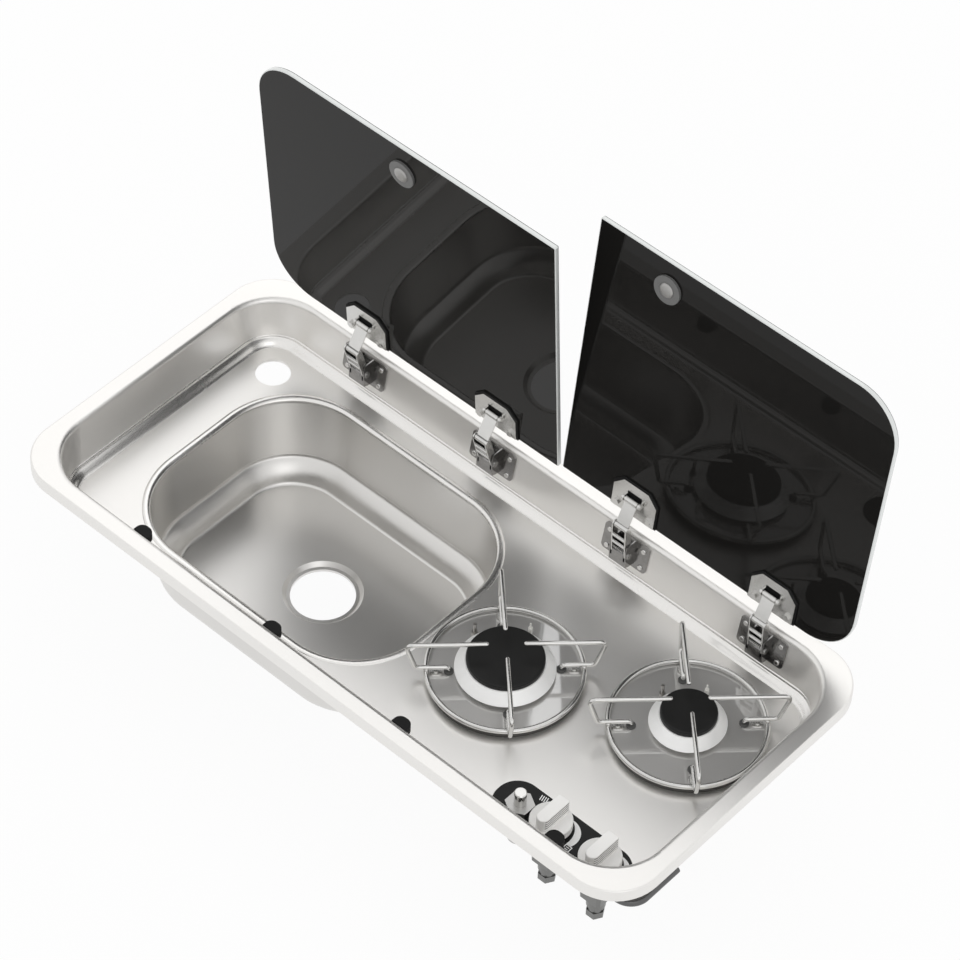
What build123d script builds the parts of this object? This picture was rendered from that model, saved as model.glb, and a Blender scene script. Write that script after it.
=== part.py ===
"""Drop-in sink and two-burner gas hob in one steel tray, with two hinged glass lids.

Frame: origin at the centre of the rim's top plane, +X towards the hob end,
+Y towards the hinge side, +Z up.  The lids are drawn open, as they stand in use.
All sizes are in millimetres.
"""
import os
from math import acos, atan2, cos, degrees, hypot, radians, sin, sqrt

from build123d import *

os.makedirs("parts", exist_ok=True)

# ---------------------------------------------------------------- driving dimensions
SHEET = 1.0             # steel sheet of the pressings
FIT = 0.05              # radial clearance of a running fit
GAP = 0.3               # clearance between faces that pass each other

# tray and rim
RIM_LENGTH = 760.0
RIM_WIDTH = 354.0
RIM_CORNER = 50.0
RIM_BAND = 18.5         # outer edge to the opening
RIM_DROP = 13.5         # turned-down outer edge
RIM_EDGE_R = 1.8        # rounding of that edge
ROLL_R = 5.0            # rounded inner edge of the rim
OPENING_CORNER = 58.0
TRAY_DEPTH = 53.0
FOOT_INSET = 10.0       # the wall leans in by this much from rim to floor
FOOT_CORNER = 36.0
FOOT_R = 7.0            # rounded foot of the tray wall
SEAL_WIDTH = 10.0
OPENING_X = RIM_LENGTH / 2 - RIM_BAND
OPENING_Y = RIM_WIDTH / 2 - RIM_BAND

# bowl
BOWL_FROM_END = 223.5   # centre, from the end of the opening
BOWL_X = BOWL_FROM_END - OPENING_X
BOWL_Y = -2.0
BOWL_LENGTH = 328.0
BOWL_WIDTH = 250.0
BOWL_CORNER = 85.0
BOWL_LIP_R = 6.0
BOWL_DEPTH = 97.0       # below the tray floor
BOWL_DRAFT = 3.5        # degrees
BOWL_FOOT_R = 20.0
RECESS_R = 39.5
RECESS_DEPTH = 4.0
RECESS_TAPER = 45.0     # degrees
WASTE_R = 32.0
WASTE_NECK = 3.0

# tap hole
TAP_HOLE_INSET = 50.5   # from the opening, both ways
TAP_HOLE_X = TAP_HOLE_INSET - OPENING_X
TAP_HOLE_Y = OPENING_Y - TAP_HOLE_INSET
TAP_HOLE_R = 17.5
TAP_PLATE_SIZE = 52.0
TAP_PLATE_CORNER = 8.0
TAP_PLATE_T = 2.0

# burners: one large, one small
BURNERS = {
    "large": dict(x=OPENING_X - 254.4, y=-17.8, flare=46.9, cap=36.5, cup=30.0),
    "small": dict(x=OPENING_X - 92.5, y=49.6, flare=36.1, cap=26.4, cup=21.5),
}
SPILL_R = 72.6          # raised plate under each pan support
SPILL_RISE = 6.0
FLARE_LIFT = 4.0        # flare edge above the spill plate
FLARE_EDGE = 1.0
FLARE_RISE = 10.5
CAP_T = 5.5
HEAD_FOOT = 3.0         # the flare's foot, outside the cup
HEAD_WALL = 8.0         # the head's ring, inside the cup
BODY_FLANGE_T = 2.0
BODY_FLANGE = 4.0       # flange outside the cup
BODY_WALL = 2.0
CUP_DEPTH = 12.0        # straight part of the cup, below the tray
CUP_FUNNEL = 12.0
THROAT_R = 11.0
THROAT_WALL = 2.5
THROAT_DEPTH = 48.0     # below the tray
AIR_SLOT_WIDTH = 9.0
AIR_SLOT_HEIGHT = 9.0
AIR_SLOT_LIFT = 3.0
INJECTOR_SIDE = 24.0
INJECTOR_T = 16.0
BLOCK_CHAMFER = 3.0     # corners of the brass blocks
NOZZLE_R = 4.0
NOZZLE_RISE = 5.0

# pan supports
RING_WIRE = 5.2
PRONG_WIRE = 4.4
PRONG_IN_R = 18.0
PRONG_OUT_R = 92.0
PRONG_HEEL_R = 82.0
PRONG_FOOT_R = 51.5
PRONG_TOP = 40.5        # top of the upper wire above the spill plate
PRONG_BEND = 5.0
PRONG_FOOT_BEND = 3.5
WELD_SINK = 0.8         # the prongs sink into the ring by this much
GROMMET_R = 4.5
GROMMET_FLANGE_T = 1.5
GROMMET_NECK_R = 3.6
GROMMET_DEPTH = 4.0
CLIP_AT_R = 63.5
CLIP_LENGTH = 11.0
CLIP_WIDTH = 9.0
CLIP_T = 1.2
CLIP_RIVET_R = 2.4
ELECTRODE_TURN = 105.0  # degrees round the burner
PROBE_TURN = 165.0
PROBE_GAP = 4.5         # beyond the flare's edge
INSULATOR_R = 2.2
INSULATOR_RISE = 7.0
ELECTRODE_R = 0.8
ELECTRODE_RISE = 6.0
PROBE_COLLAR_R = 3.0
PROBE_COLLAR_RISE = 3.0
PROBE_R = 1.6
PROBE_RISE = 11.0

# controls
PLATE_X = OPENING_X - 96.0
PLATE_Y = 39.9 - OPENING_Y
PLATE_LENGTH = 150.0
PLATE_WIDTH = 47.0
PLATE_END_R = 22.5
PLATE_T = 1.5
TAPS = {"large": (PLATE_X - 11.5, PLATE_Y - 1.9), "small": (PLATE_X + 46.0, PLATE_Y - 1.9)}
IGNITER_X = PLATE_X - 46.0
IGNITER_Y = PLATE_Y - 4.4
KNOB_R = 19.8
KNOB_SKIRT_T = 9.0
KNOB_SKIRT_LIFT = 4.5   # under the skirt, above the control plate
KNOB_BAR_LENGTH = 35.0
KNOB_BAR_WIDTH = 13.0
KNOB_BAR_RISE = 15.0
KNOB_EDGE = 1.0
KNOB_PUSH = 3.0
END_PLAY = 0.5
SPINDLE_R = 4.0
SPINDLE_HOLE_R = 6.0    # in the tray and the control plate
SPINDLE_RISE = 8.0      # above the knob's skirt
SPINDLE_DEPTH = 12.0    # into the tap, below the tray
TAP_BLOCK = 24.0
TAP_NECK = 14.0         # lengths along the tap, down from the tray
TAP_NECK_R = 9.0
TAP_BLOCK_LENGTH = 28.0
TAP_BARREL = 13.0
TAP_BARREL_R = 9.0
TAP_TAIL = 6.0
TAP_TAIL_R = 7.5
TAP_NUT = 8.0
TAP_NUT_R = 9.0
IGNITER_NUT_R = 14.0
IGNITER_NUT_T = 8.0
IGNITER_NUT_TURN = 30.0  # degrees; a flat faces the knob beside it
IGNITER_BARREL_R = 8.0
IGNITER_BODY_R = 10.0
IGNITER_BODY = 38.0     # below the tray
BUTTON_R = 5.8
BUTTON_RISE = 15.5      # above the nut
BUTTON_BORE = 22.0
BUTTON_EDGE = 0.8
BUTTON_TRAVEL = 4.0

# gas pipes
RAIL_DROP = 26.0        # below the tray
RAIL_R = 4.0
RAIL_TURN_X = OPENING_X - 9.5
RAIL_BEND = 18.0
INLET_RUN = 60.5        # along Y, from the rail to the pipe's end
FEED_R = 3.0
FEED_DROP = 36.0        # below the tray
FEED_START = 60.0       # straight run out of the tap
FEED_END = 30.0         # straight run into the injector holder
FEED_BEND = 14.0

# lids
GLASS_T = 5.0
GLASS_INSET_X = 6.5     # inside the opening, each way
GLASS_INSET_Y = 5.5
GLASS_OUTER_X = OPENING_X - GLASS_INSET_X
GLASS_BACK_Y = OPENING_Y - GLASS_INSET_Y    # back edge when closed
GLASS_DEPTH = 2 * GLASS_BACK_Y
GLASS_SPLIT_X = 13.5
GLASS_SPLIT_GAP = 3.0
GLASS_CORNER = 48.0
GLASS_EDGE = 0.7
GLASS_UNDER_Z = -2.5    # underside when closed
SWING_Y = OPENING_Y + 7.8   # centre that each lid swings about
SWING_Z = 4.0
OPEN_ANGLE = {"left": 85.3, "right": 95.65}
KNOB_PLACE = {
    "left": (183.0 - GLASS_OUTER_X, GLASS_DEPTH - 33.0),
    "right": (GLASS_SPLIT_X + 84.5, GLASS_DEPTH - 30.0),
}
LID_KNOB_R = 16.0
LID_KNOB_T = 11.0
LID_KNOB_EDGE = 3.0
LID_STUD_R = 3.5
WASHER_R = 14.5
WASHER_T = 2.5

# lid rests on the front wall
REST_X = (138.5 - OPENING_X, GLASS_SPLIT_X - 70.0, GLASS_SPLIT_X + 90.0, OPENING_X - 75.5)
REST_WIDTH = 17.5
REST_REACH_Y = 12.0 - OPENING_Y
REST_T = 9.0
REST_CORNER = 7.5

# hinges
HINGE_X = {
    "left": (124.0 - GLASS_OUTER_X, GLASS_SPLIT_X - 77.5),
    "right": (GLASS_SPLIT_X + 89.5, GLASS_OUTER_X - 87.0),
}
LEAF_WIDTH = 51.0
LEAF_FOOT = 1.5
LEAF_TOP = 38.0
LEAF_T = 1.5
LEAF_CHAMFER = 11.0
PAD_T = 1.5
PAD_MARGIN = 1.5
PAD_FOOT = 0.5
WINDOW_WIDTH = 17.0
WINDOW_LOW = 19.0
WINDOW_HIGH = 28.5
EAR_X = 8.5             # inner face of the ears
EAR_T = 1.5
EAR_R = 3.2
PIN_R = 1.6
PIN_HEAD_T = 1.0
PIN_HEAD_R = 2.6
PIVOT_HEAD_R = 3.2
LINK_PIN_UP = 21.6      # above the glass's hinge edge
LINK_PIN_OUT = 6.5      # in front of the glass
LINK_WIDTH = 14.0
LINK_T = 1.5
LINK_EYE_R = 3.0
LINK_LENGTH = 27.5
ARM_PIN_Y = OPENING_Y - 12.5
ARM_PIN_Z = -20.0
ARM_LENGTH = 35.4
ARM_X = 7.3             # inner face of the arm's cheeks
ARM_T = 1.2
ARM_NOSE_R = 4.0
ARM_BAR_R = 1.5
ARM_BARS = (13.0, 22.5)  # cross bars, along the arm from its pivot
ARM_BAR_BACK = 3.4      # the bars stand in front of the arm's own line
BOX_X = 8.8             # inner face of the housing's side walls
BOX_T = 1.2
BOX_TOP_REACH = 3.0     # the side walls, in front of the pivot
BOX_REACH = 4.4
BOX_ABOVE = 8.0         # straight front edge, above and below the pivot
BOX_BELOW = 13.0
BOX_LIP = 5.8           # top of the front plate, below the pivot
TONGUE_TOP = 3.0        # the plate's middle rises to here, above the pivot
BOX_FOOT = 4.0          # lower front corner, off the wall
BOX_ROOT = 1.0          # the box ends this far off the wall, inside the flange
FLANGE_X = 27.0
FLANGE_T = 1.5
FLANGE_TOP_Z = -6.0
FLANGE_BOTTOM_Z = -36.5
FLANGE_CORNER = 4.0
RIVET_X = 20.5
RIVET_Z = (-12.5, -31.5)
RIVET_R = 2.8
RIVET_T = 1.4
RIVET_DOME = 1.0
SCREW_X = 19.0
SCREW_UP = 7.5
SCREW_R = 2.0
SCREW_HEAD_R = 3.8
SCREW_HEAD_T = 2.6
SCREW_CAP_R = 4.3       # on the outer face of the glass
SPRING_WIRE_R = 0.55
SPRING_PITCH = 1.9
SPRING_TURNS = 5

# ---------------------------------------------------------------- derived places
FLOOR = -TRAY_DEPTH
UNDER_FLOOR = FLOOR - SHEET
SPILL_TOP = FLOOR + SPILL_RISE
BODY_TOP = SPILL_TOP + BODY_FLANGE_T
CAP_SEAT = SPILL_TOP + FLARE_LIFT + FLARE_EDGE + FLARE_RISE
BOWL_FLOOR = FLOOR - BOWL_DEPTH
PLATE_TOP = FLOOR + PLATE_T
THROAT_END = UNDER_FLOOR - THROAT_DEPTH
SPINDLE_FOOT = UNDER_FLOOR - SPINDLE_DEPTH
TAP_BLOCK_TOP = UNDER_FLOOR - TAP_NECK
TAP_BLOCK_BOTTOM = TAP_BLOCK_TOP - TAP_BLOCK_LENGTH
TAP_BARREL_END = TAP_BLOCK_BOTTOM - TAP_BARREL
TAP_TAIL_END = TAP_BARREL_END - TAP_TAIL
TAP_NUT_END = TAP_TAIL_END - TAP_NUT
NUT_TOP = PLATE_TOP + IGNITER_NUT_T
BUTTON_TOP = NUT_TOP + BUTTON_RISE
RAIL_Z = UNDER_FLOOR - RAIL_DROP
FEED_Z = UNDER_FLOOR - FEED_DROP
SKIRT_LOW = PLATE_TOP + KNOB_SKIRT_LIFT
SKIRT_TOP = SKIRT_LOW + KNOB_SKIRT_T
WALL_SLOPE = atan2(FOOT_INSET, TRAY_DEPTH)
SPRING_COIL_R = PIN_R + GAP + SPRING_WIRE_R
DIAGONALS = (45.0, 135.0, 225.0, 315.0)
NEAR = 0.01             # tolerance when edges are picked by place


def save(part, name):
    """Label one finished piece and write it to its own STEP file."""
    part.label = name
    export_step(part, f"parts/{name}.step")
    print(f"{name}: {len(part.solids())} solid(s), {part.volume:.0f} mm3")


def wall_y(z):
    """Inner face of the tray's long wall at height z (z is below the rim)."""
    return OPENING_Y + z * sin(WALL_SLOPE) / cos(WALL_SLOPE)


def well(grow):
    """The tray's well as a solid, its walls moved outwards by grow."""
    with BuildPart() as block:
        with BuildSketch(Plane.XY.offset(-grow)):
            RectangleRounded(
                2 * (OPENING_X + grow), 2 * (OPENING_Y + grow), OPENING_CORNER + grow
            )
        with BuildSketch(Plane.XY.offset(FLOOR - grow)):
            RectangleRounded(
                2 * (OPENING_X - FOOT_INSET + grow),
                2 * (OPENING_Y - FOOT_INSET + grow),
                FOOT_CORNER + grow,
            )
        loft()
        fillet(block.faces().sort_by(Axis.Z)[0].edges(), FOOT_R + grow)
    return block.part


pan_outside = well(SHEET)
pan_inside = well(0)


# ---------------------------------------------------------------- tray
with BuildPart() as tray:
    with BuildSketch(Plane.XY.offset(-RIM_DROP)):
        RectangleRounded(RIM_LENGTH, RIM_WIDTH, RIM_CORNER)
    extrude(amount=RIM_DROP)
    fillet(tray.edges().group_by(Axis.Z)[-1], RIM_EDGE_R)
    with BuildSketch(Plane.XY.offset(-RIM_DROP)):
        RectangleRounded(RIM_LENGTH - 2 * SHEET, RIM_WIDTH - 2 * SHEET, RIM_CORNER - SHEET)
    extrude(amount=RIM_DROP - SHEET, mode=Mode.SUBTRACT)
    add(pan_outside)
    root = tray.edges().filter_by_position(Axis.Z, -SHEET - NEAR, -SHEET + NEAR)
    fillet(root.sort_by(SortBy.LENGTH).filter_by(
        lambda e: abs(e.center().X) < OPENING_X + 2 * SHEET
        and abs(e.center().Y) < OPENING_Y + 2 * SHEET), ROLL_R - SHEET)
    add(pan_inside, mode=Mode.SUBTRACT)
    lip = tray.edges().group_by(Axis.Z)[-1].filter_by(
        lambda e: abs(e.center().X) < OPENING_X + SHEET and abs(e.center().Y) < OPENING_Y + SHEET)
    fillet(lip, ROLL_R)
    with BuildSketch(Plane.XY.offset(UNDER_FLOOR)):
        with Locations((BOWL_X, BOWL_Y)):
            RectangleRounded(BOWL_LENGTH, BOWL_WIDTH, BOWL_CORNER)
        with Locations((TAP_HOLE_X, TAP_HOLE_Y)):
            Circle(TAP_HOLE_R + GAP)
        for burner in BURNERS.values():
            with Locations((burner["x"], burner["y"])):
                Circle(burner["cup"] + 2 * SHEET)
        with Locations(*TAPS.values()):
            Circle(SPINDLE_HOLE_R)
        with Locations((IGNITER_X, IGNITER_Y)):
            Circle(IGNITER_BARREL_R + GAP)
    extrude(amount=2 * SHEET, mode=Mode.SUBTRACT)
save(tray.part, "tray")

with BuildPart() as rim_seal:
    with BuildSketch(Plane.XY.offset(-RIM_DROP)):
        RectangleRounded(
            RIM_LENGTH - 2 * (SHEET + GAP), RIM_WIDTH - 2 * (SHEET + GAP), RIM_CORNER - SHEET - GAP
        )
        RectangleRounded(
            RIM_LENGTH - 2 * SEAL_WIDTH,
            RIM_WIDTH - 2 * SEAL_WIDTH,
            RIM_CORNER - SEAL_WIDTH + SHEET,
            mode=Mode.SUBTRACT,
        )
    extrude(amount=RIM_DROP - SHEET)
save(rim_seal.part, "rim_seal")

with BuildPart() as tap_hole_plate:
    with BuildSketch(Plane.XY.offset(UNDER_FLOOR - TAP_PLATE_T)):
        with Locations((TAP_HOLE_X, TAP_HOLE_Y)):
            RectangleRounded(TAP_PLATE_SIZE, TAP_PLATE_SIZE, TAP_PLATE_CORNER)
            Circle(TAP_HOLE_R, mode=Mode.SUBTRACT)
    extrude(amount=TAP_PLATE_T)
save(tap_hole_plate.part, "tap_hole_plate")

# ---------------------------------------------------------------- bowl
BOWL_IN_X = BOWL_LENGTH / 2 - BOWL_LIP_R
BOWL_IN_Y = BOWL_WIDTH / 2 - BOWL_LIP_R
BOWL_IN_CORNER = BOWL_CORNER - BOWL_LIP_R
with BuildPart() as basin:
    with BuildSketch(Plane.XY.offset(FLOOR)):
        with Locations((BOWL_X, BOWL_Y)):
            RectangleRounded(2 * BOWL_IN_X, 2 * BOWL_IN_Y, BOWL_IN_CORNER)
    extrude(amount=-BOWL_DEPTH, taper=BOWL_DRAFT)
    fillet(basin.faces().sort_by(Axis.Z)[0].edges(), BOWL_FOOT_R)
    with BuildSketch(Plane.XY.offset(BOWL_FLOOR)):
        with Locations((BOWL_X, BOWL_Y)):
            Circle(RECESS_R)
    extrude(amount=-RECESS_DEPTH, taper=RECESS_TAPER)
    with BuildSketch(Plane.XY.offset(BOWL_FLOOR)):
        with Locations((BOWL_X, BOWL_Y)):
            Circle(WASTE_R)
    extrude(amount=-RECESS_DEPTH - WASTE_NECK)

with BuildPart() as bowl:
    with BuildSketch(Plane.XY.offset(UNDER_FLOOR)):
        with Locations((BOWL_X, BOWL_Y)):
            RectangleRounded(BOWL_LENGTH, BOWL_WIDTH, BOWL_CORNER)
    extrude(amount=SHEET)
    with BuildSketch(Plane.XY.offset(UNDER_FLOOR)):
        with Locations((BOWL_X, BOWL_Y)):
            RectangleRounded(
                2 * (BOWL_IN_X + SHEET), 2 * (BOWL_IN_Y + SHEET), BOWL_IN_CORNER + SHEET
            )
    extrude(amount=-BOWL_DEPTH, taper=BOWL_DRAFT)
    fillet(bowl.faces().sort_by(Axis.Z)[0].edges(), BOWL_FOOT_R + SHEET)
    with BuildSketch(Plane.XY.offset(BOWL_FLOOR - SHEET)):
        with Locations((BOWL_X, BOWL_Y)):
            Circle(RECESS_R + SHEET)
    extrude(amount=-RECESS_DEPTH, taper=RECESS_TAPER)
    with BuildSketch(Plane.XY.offset(BOWL_FLOOR - SHEET - RECESS_DEPTH)):
        with Locations((BOWL_X, BOWL_Y)):
            Circle(WASTE_R + SHEET)
    extrude(amount=-(WASTE_NECK - SHEET))
    add(basin.part, mode=Mode.SUBTRACT)
    mouth_edge = bowl.faces().sort_by(Axis.Z)[-1].inner_wires()[0].edges()
    fillet(mouth_edge, BOWL_LIP_R - SHEET)
save(bowl.part, "sink_bowl")

# ---------------------------------------------------------------- burners and pan supports
for size, burner in BURNERS.items():
    here = Plane((burner["x"], burner["y"], 0))
    across = Plane((burner["x"], burner["y"], 0), x_dir=(1, 0, 0), z_dir=(0, -1, 0))
    cup = burner["cup"]
    flare = burner["flare"]
    cap = burner["cap"]

    with BuildPart() as spill_plate:
        with BuildSketch(here.offset(FLOOR)):
            Circle(SPILL_R)
        extrude(amount=SPILL_RISE)
        fillet(spill_plate.edges().group_by(Axis.Z)[-1], 2 * SHEET)
        with BuildSketch(here.offset(FLOOR)):
            Circle(SPILL_R - SHEET)
        extrude(amount=SPILL_RISE - SHEET, mode=Mode.SUBTRACT)
        with BuildSketch(here.offset(FLOOR)):
            Circle(cup + GAP)
            with PolarLocations(PRONG_FOOT_R, 4, start_angle=DIAGONALS[0]):
                Circle(GROMMET_NECK_R)
        extrude(amount=SPILL_RISE, mode=Mode.SUBTRACT)
    save(spill_plate.part, f"spill_plate_{size}")

    with BuildPart() as burner_body:
        with BuildSketch(across):
            with BuildLine():
                Polyline(
                    (cup - BODY_WALL, BODY_TOP),
                    (cup + BODY_FLANGE, BODY_TOP),
                    (cup + BODY_FLANGE, SPILL_TOP),
                    (cup, SPILL_TOP),
                    (cup, UNDER_FLOOR - CUP_DEPTH),
                    (THROAT_R, UNDER_FLOOR - CUP_DEPTH - CUP_FUNNEL),
                    (THROAT_R, THROAT_END),
                    (THROAT_R - THROAT_WALL, THROAT_END),
                    (THROAT_R - THROAT_WALL, UNDER_FLOOR - CUP_DEPTH - CUP_FUNNEL + BODY_WALL),
                    (cup - BODY_WALL, UNDER_FLOOR - CUP_DEPTH + BODY_WALL),
                    close=True,
                )
            make_face()
        revolve(axis=Axis((burner["x"], burner["y"], 0), (0, 0, 1)))
        with BuildSketch(here.offset(THROAT_END + AIR_SLOT_LIFT)):
            Rectangle(3 * THROAT_R, AIR_SLOT_WIDTH)
            Rectangle(AIR_SLOT_WIDTH, 3 * THROAT_R)
        extrude(amount=AIR_SLOT_HEIGHT, mode=Mode.SUBTRACT)
    save(burner_body.part, f"burner_body_{size}")

    with BuildPart() as burner_head:
        with BuildSketch(across):
            with BuildLine():
                Polyline(
                    (cup - HEAD_WALL, BODY_TOP),
                    (cup + HEAD_FOOT, BODY_TOP),
                    (flare - FLARE_EDGE, SPILL_TOP + FLARE_LIFT),
                    (flare, SPILL_TOP + FLARE_LIFT + FLARE_EDGE),
                    (cap + FLARE_EDGE, CAP_SEAT),
                    (cup - HEAD_WALL, CAP_SEAT),
                    close=True,
                )
            make_face()
        revolve(axis=Axis((burner["x"], burner["y"], 0), (0, 0, 1)))
    save(burner_head.part, f"burner_head_{size}")

    with BuildPart() as burner_cap:
        with BuildSketch(here.offset(CAP_SEAT)):
            Circle(cap)
        extrude(amount=CAP_T)
        fillet(burner_cap.edges().group_by(Axis.Z)[-1], CAP_T / 3)
    save(burner_cap.part, f"burner_cap_{size}")

    with BuildPart() as injector:
        with BuildSketch(here.offset(THROAT_END)):
            Rectangle(INJECTOR_SIDE, INJECTOR_SIDE)
        extrude(amount=-INJECTOR_T)
        chamfer(injector.edges().filter_by(Axis.Z), BLOCK_CHAMFER)
        with BuildSketch(here.offset(THROAT_END)):
            Circle(NOZZLE_R)
        extrude(amount=NOZZLE_RISE)
    save(injector.part, f"injector_holder_{size}")

    ring_z = SPILL_TOP + RING_WIRE / 2
    top_z = SPILL_TOP + PRONG_TOP - PRONG_WIRE / 2
    low_z = SPILL_TOP + RING_WIRE + PRONG_WIRE / 2 - WELD_SINK
    with BuildPart() as pan_support:
        with BuildSketch(across):
            with Locations((SPILL_R, ring_z)):
                Circle(RING_WIRE / 2)
        revolve(axis=Axis((burner["x"], burner["y"], 0), (0, 0, 1)))
        for turn in DIAGONALS:
            away = Vector(cos(radians(turn)), sin(radians(turn)), 0)
            centre = Vector(burner["x"], burner["y"], 0)
            radial = Plane(centre, x_dir=away, z_dir=away.cross(Vector(0, 0, 1)))
            with BuildLine(radial) as wire:
                FilletPolyline(
                    (PRONG_IN_R, top_z),
                    (PRONG_OUT_R, top_z),
                    (PRONG_HEEL_R, low_z),
                    (PRONG_FOOT_R, low_z),
                    (PRONG_FOOT_R, SPILL_TOP - GROMMET_DEPTH + SHEET),
                    radius=(PRONG_BEND, PRONG_BEND, PRONG_FOOT_BEND),
                )
            with BuildSketch(Plane(wire.line @ 0, z_dir=wire.line % 0)):
                Circle(PRONG_WIRE / 2)
            sweep(path=wire.line)
    save(pan_support.part, f"pan_support_{size}")

    feed_y = burner["y"]
    feed_x = burner["x"] + INJECTOR_SIDE / 2
    tap_x, tap_y = TAPS[size]
    bend_y = min(feed_y, tap_y + TAP_BLOCK / 2 + FEED_START)
    injector_z = THROAT_END - INJECTOR_T / 2
    with BuildPart() as feed_pipe:
        with BuildLine() as run:
            FilletPolyline(
                (tap_x, tap_y + TAP_BLOCK / 2, FEED_Z),
                (tap_x, bend_y, FEED_Z),
                (feed_x + FEED_END, feed_y, injector_z),
                (feed_x, feed_y, injector_z),
                radius=FEED_BEND,
            )
        with BuildSketch(Plane(run.line @ 0, z_dir=run.line % 0)):
            Circle(FEED_R)
        sweep(path=run.line)
    save(feed_pipe.part, f"feed_pipe_{size}")

with BuildPart() as grommets:
    for burner in BURNERS.values():
        spot = Plane((burner["x"], burner["y"], SPILL_TOP - GROMMET_DEPTH))
        with BuildSketch(spot):
            with PolarLocations(PRONG_FOOT_R, 4, start_angle=DIAGONALS[0]):
                Circle(GROMMET_NECK_R)
        extrude(amount=GROMMET_DEPTH)
        with BuildSketch(spot.offset(GROMMET_DEPTH)):
            with PolarLocations(PRONG_FOOT_R, 4, start_angle=DIAGONALS[0]):
                Circle(GROMMET_R)
        extrude(amount=GROMMET_FLANGE_T)
        with BuildSketch(spot):
            with PolarLocations(PRONG_FOOT_R, 4, start_angle=DIAGONALS[0]):
                Circle(PRONG_WIRE / 2 + FIT)
        extrude(amount=GROMMET_DEPTH + GROMMET_FLANGE_T, mode=Mode.SUBTRACT)
save(grommets.part, "support_grommets")

with BuildPart() as clips:
    for burner in BURNERS.values():
        spot = Plane((burner["x"], burner["y"], SPILL_TOP))
        with BuildSketch(spot):
            with PolarLocations(CLIP_AT_R, 4, start_angle=DIAGONALS[0]):
                RectangleRounded(CLIP_LENGTH, CLIP_WIDTH, CLIP_WIDTH / 3)
        extrude(amount=CLIP_T)
        with BuildSketch(spot.offset(CLIP_T)):
            with PolarLocations(CLIP_AT_R, 4, start_angle=DIAGONALS[0]):
                Circle(CLIP_RIVET_R)
        extrude(amount=CLIP_T)
save(clips.part, "support_clips")

with BuildPart() as electrodes:
    for burner in BURNERS.values():
        reach = burner["flare"] + PROBE_GAP
        at = Vector(reach, 0, 0).rotate(Axis.Z, ELECTRODE_TURN)
        with BuildSketch(Plane((burner["x"] + at.X, burner["y"] + at.Y, SPILL_TOP))):
            Circle(INSULATOR_R)
        extrude(amount=INSULATOR_RISE)
        tip = Plane((burner["x"] + at.X, burner["y"] + at.Y, SPILL_TOP + INSULATOR_RISE))
        with BuildSketch(tip):
            Circle(ELECTRODE_R)
        extrude(amount=ELECTRODE_RISE)
save(electrodes.part, "spark_electrodes")

with BuildPart() as probes:
    for burner in BURNERS.values():
        reach = burner["flare"] + PROBE_GAP
        at = Vector(reach, 0, 0).rotate(Axis.Z, PROBE_TURN)
        with BuildSketch(Plane((burner["x"] + at.X, burner["y"] + at.Y, SPILL_TOP))):
            Circle(PROBE_COLLAR_R)
        extrude(amount=PROBE_COLLAR_RISE)
        tip = Plane((burner["x"] + at.X, burner["y"] + at.Y, SPILL_TOP + PROBE_COLLAR_RISE))
        with BuildSketch(tip):
            Circle(PROBE_R)
        extrude(amount=PROBE_RISE)
save(probes.part, "flame_probes")

# ---------------------------------------------------------------- controls
with BuildPart() as control_plate:
    with BuildSketch(Plane.XY.offset(FLOOR)):
        with Locations((PLATE_X, PLATE_Y)):
            RectangleRounded(PLATE_LENGTH, PLATE_WIDTH, PLATE_END_R)
        with Locations(*TAPS.values()):
            Circle(SPINDLE_HOLE_R, mode=Mode.SUBTRACT)
        with Locations((IGNITER_X, IGNITER_Y)):
            Circle(IGNITER_BARREL_R + GAP, mode=Mode.SUBTRACT)
    extrude(amount=PLATE_T)
save(control_plate.part, "control_plate")

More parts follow.
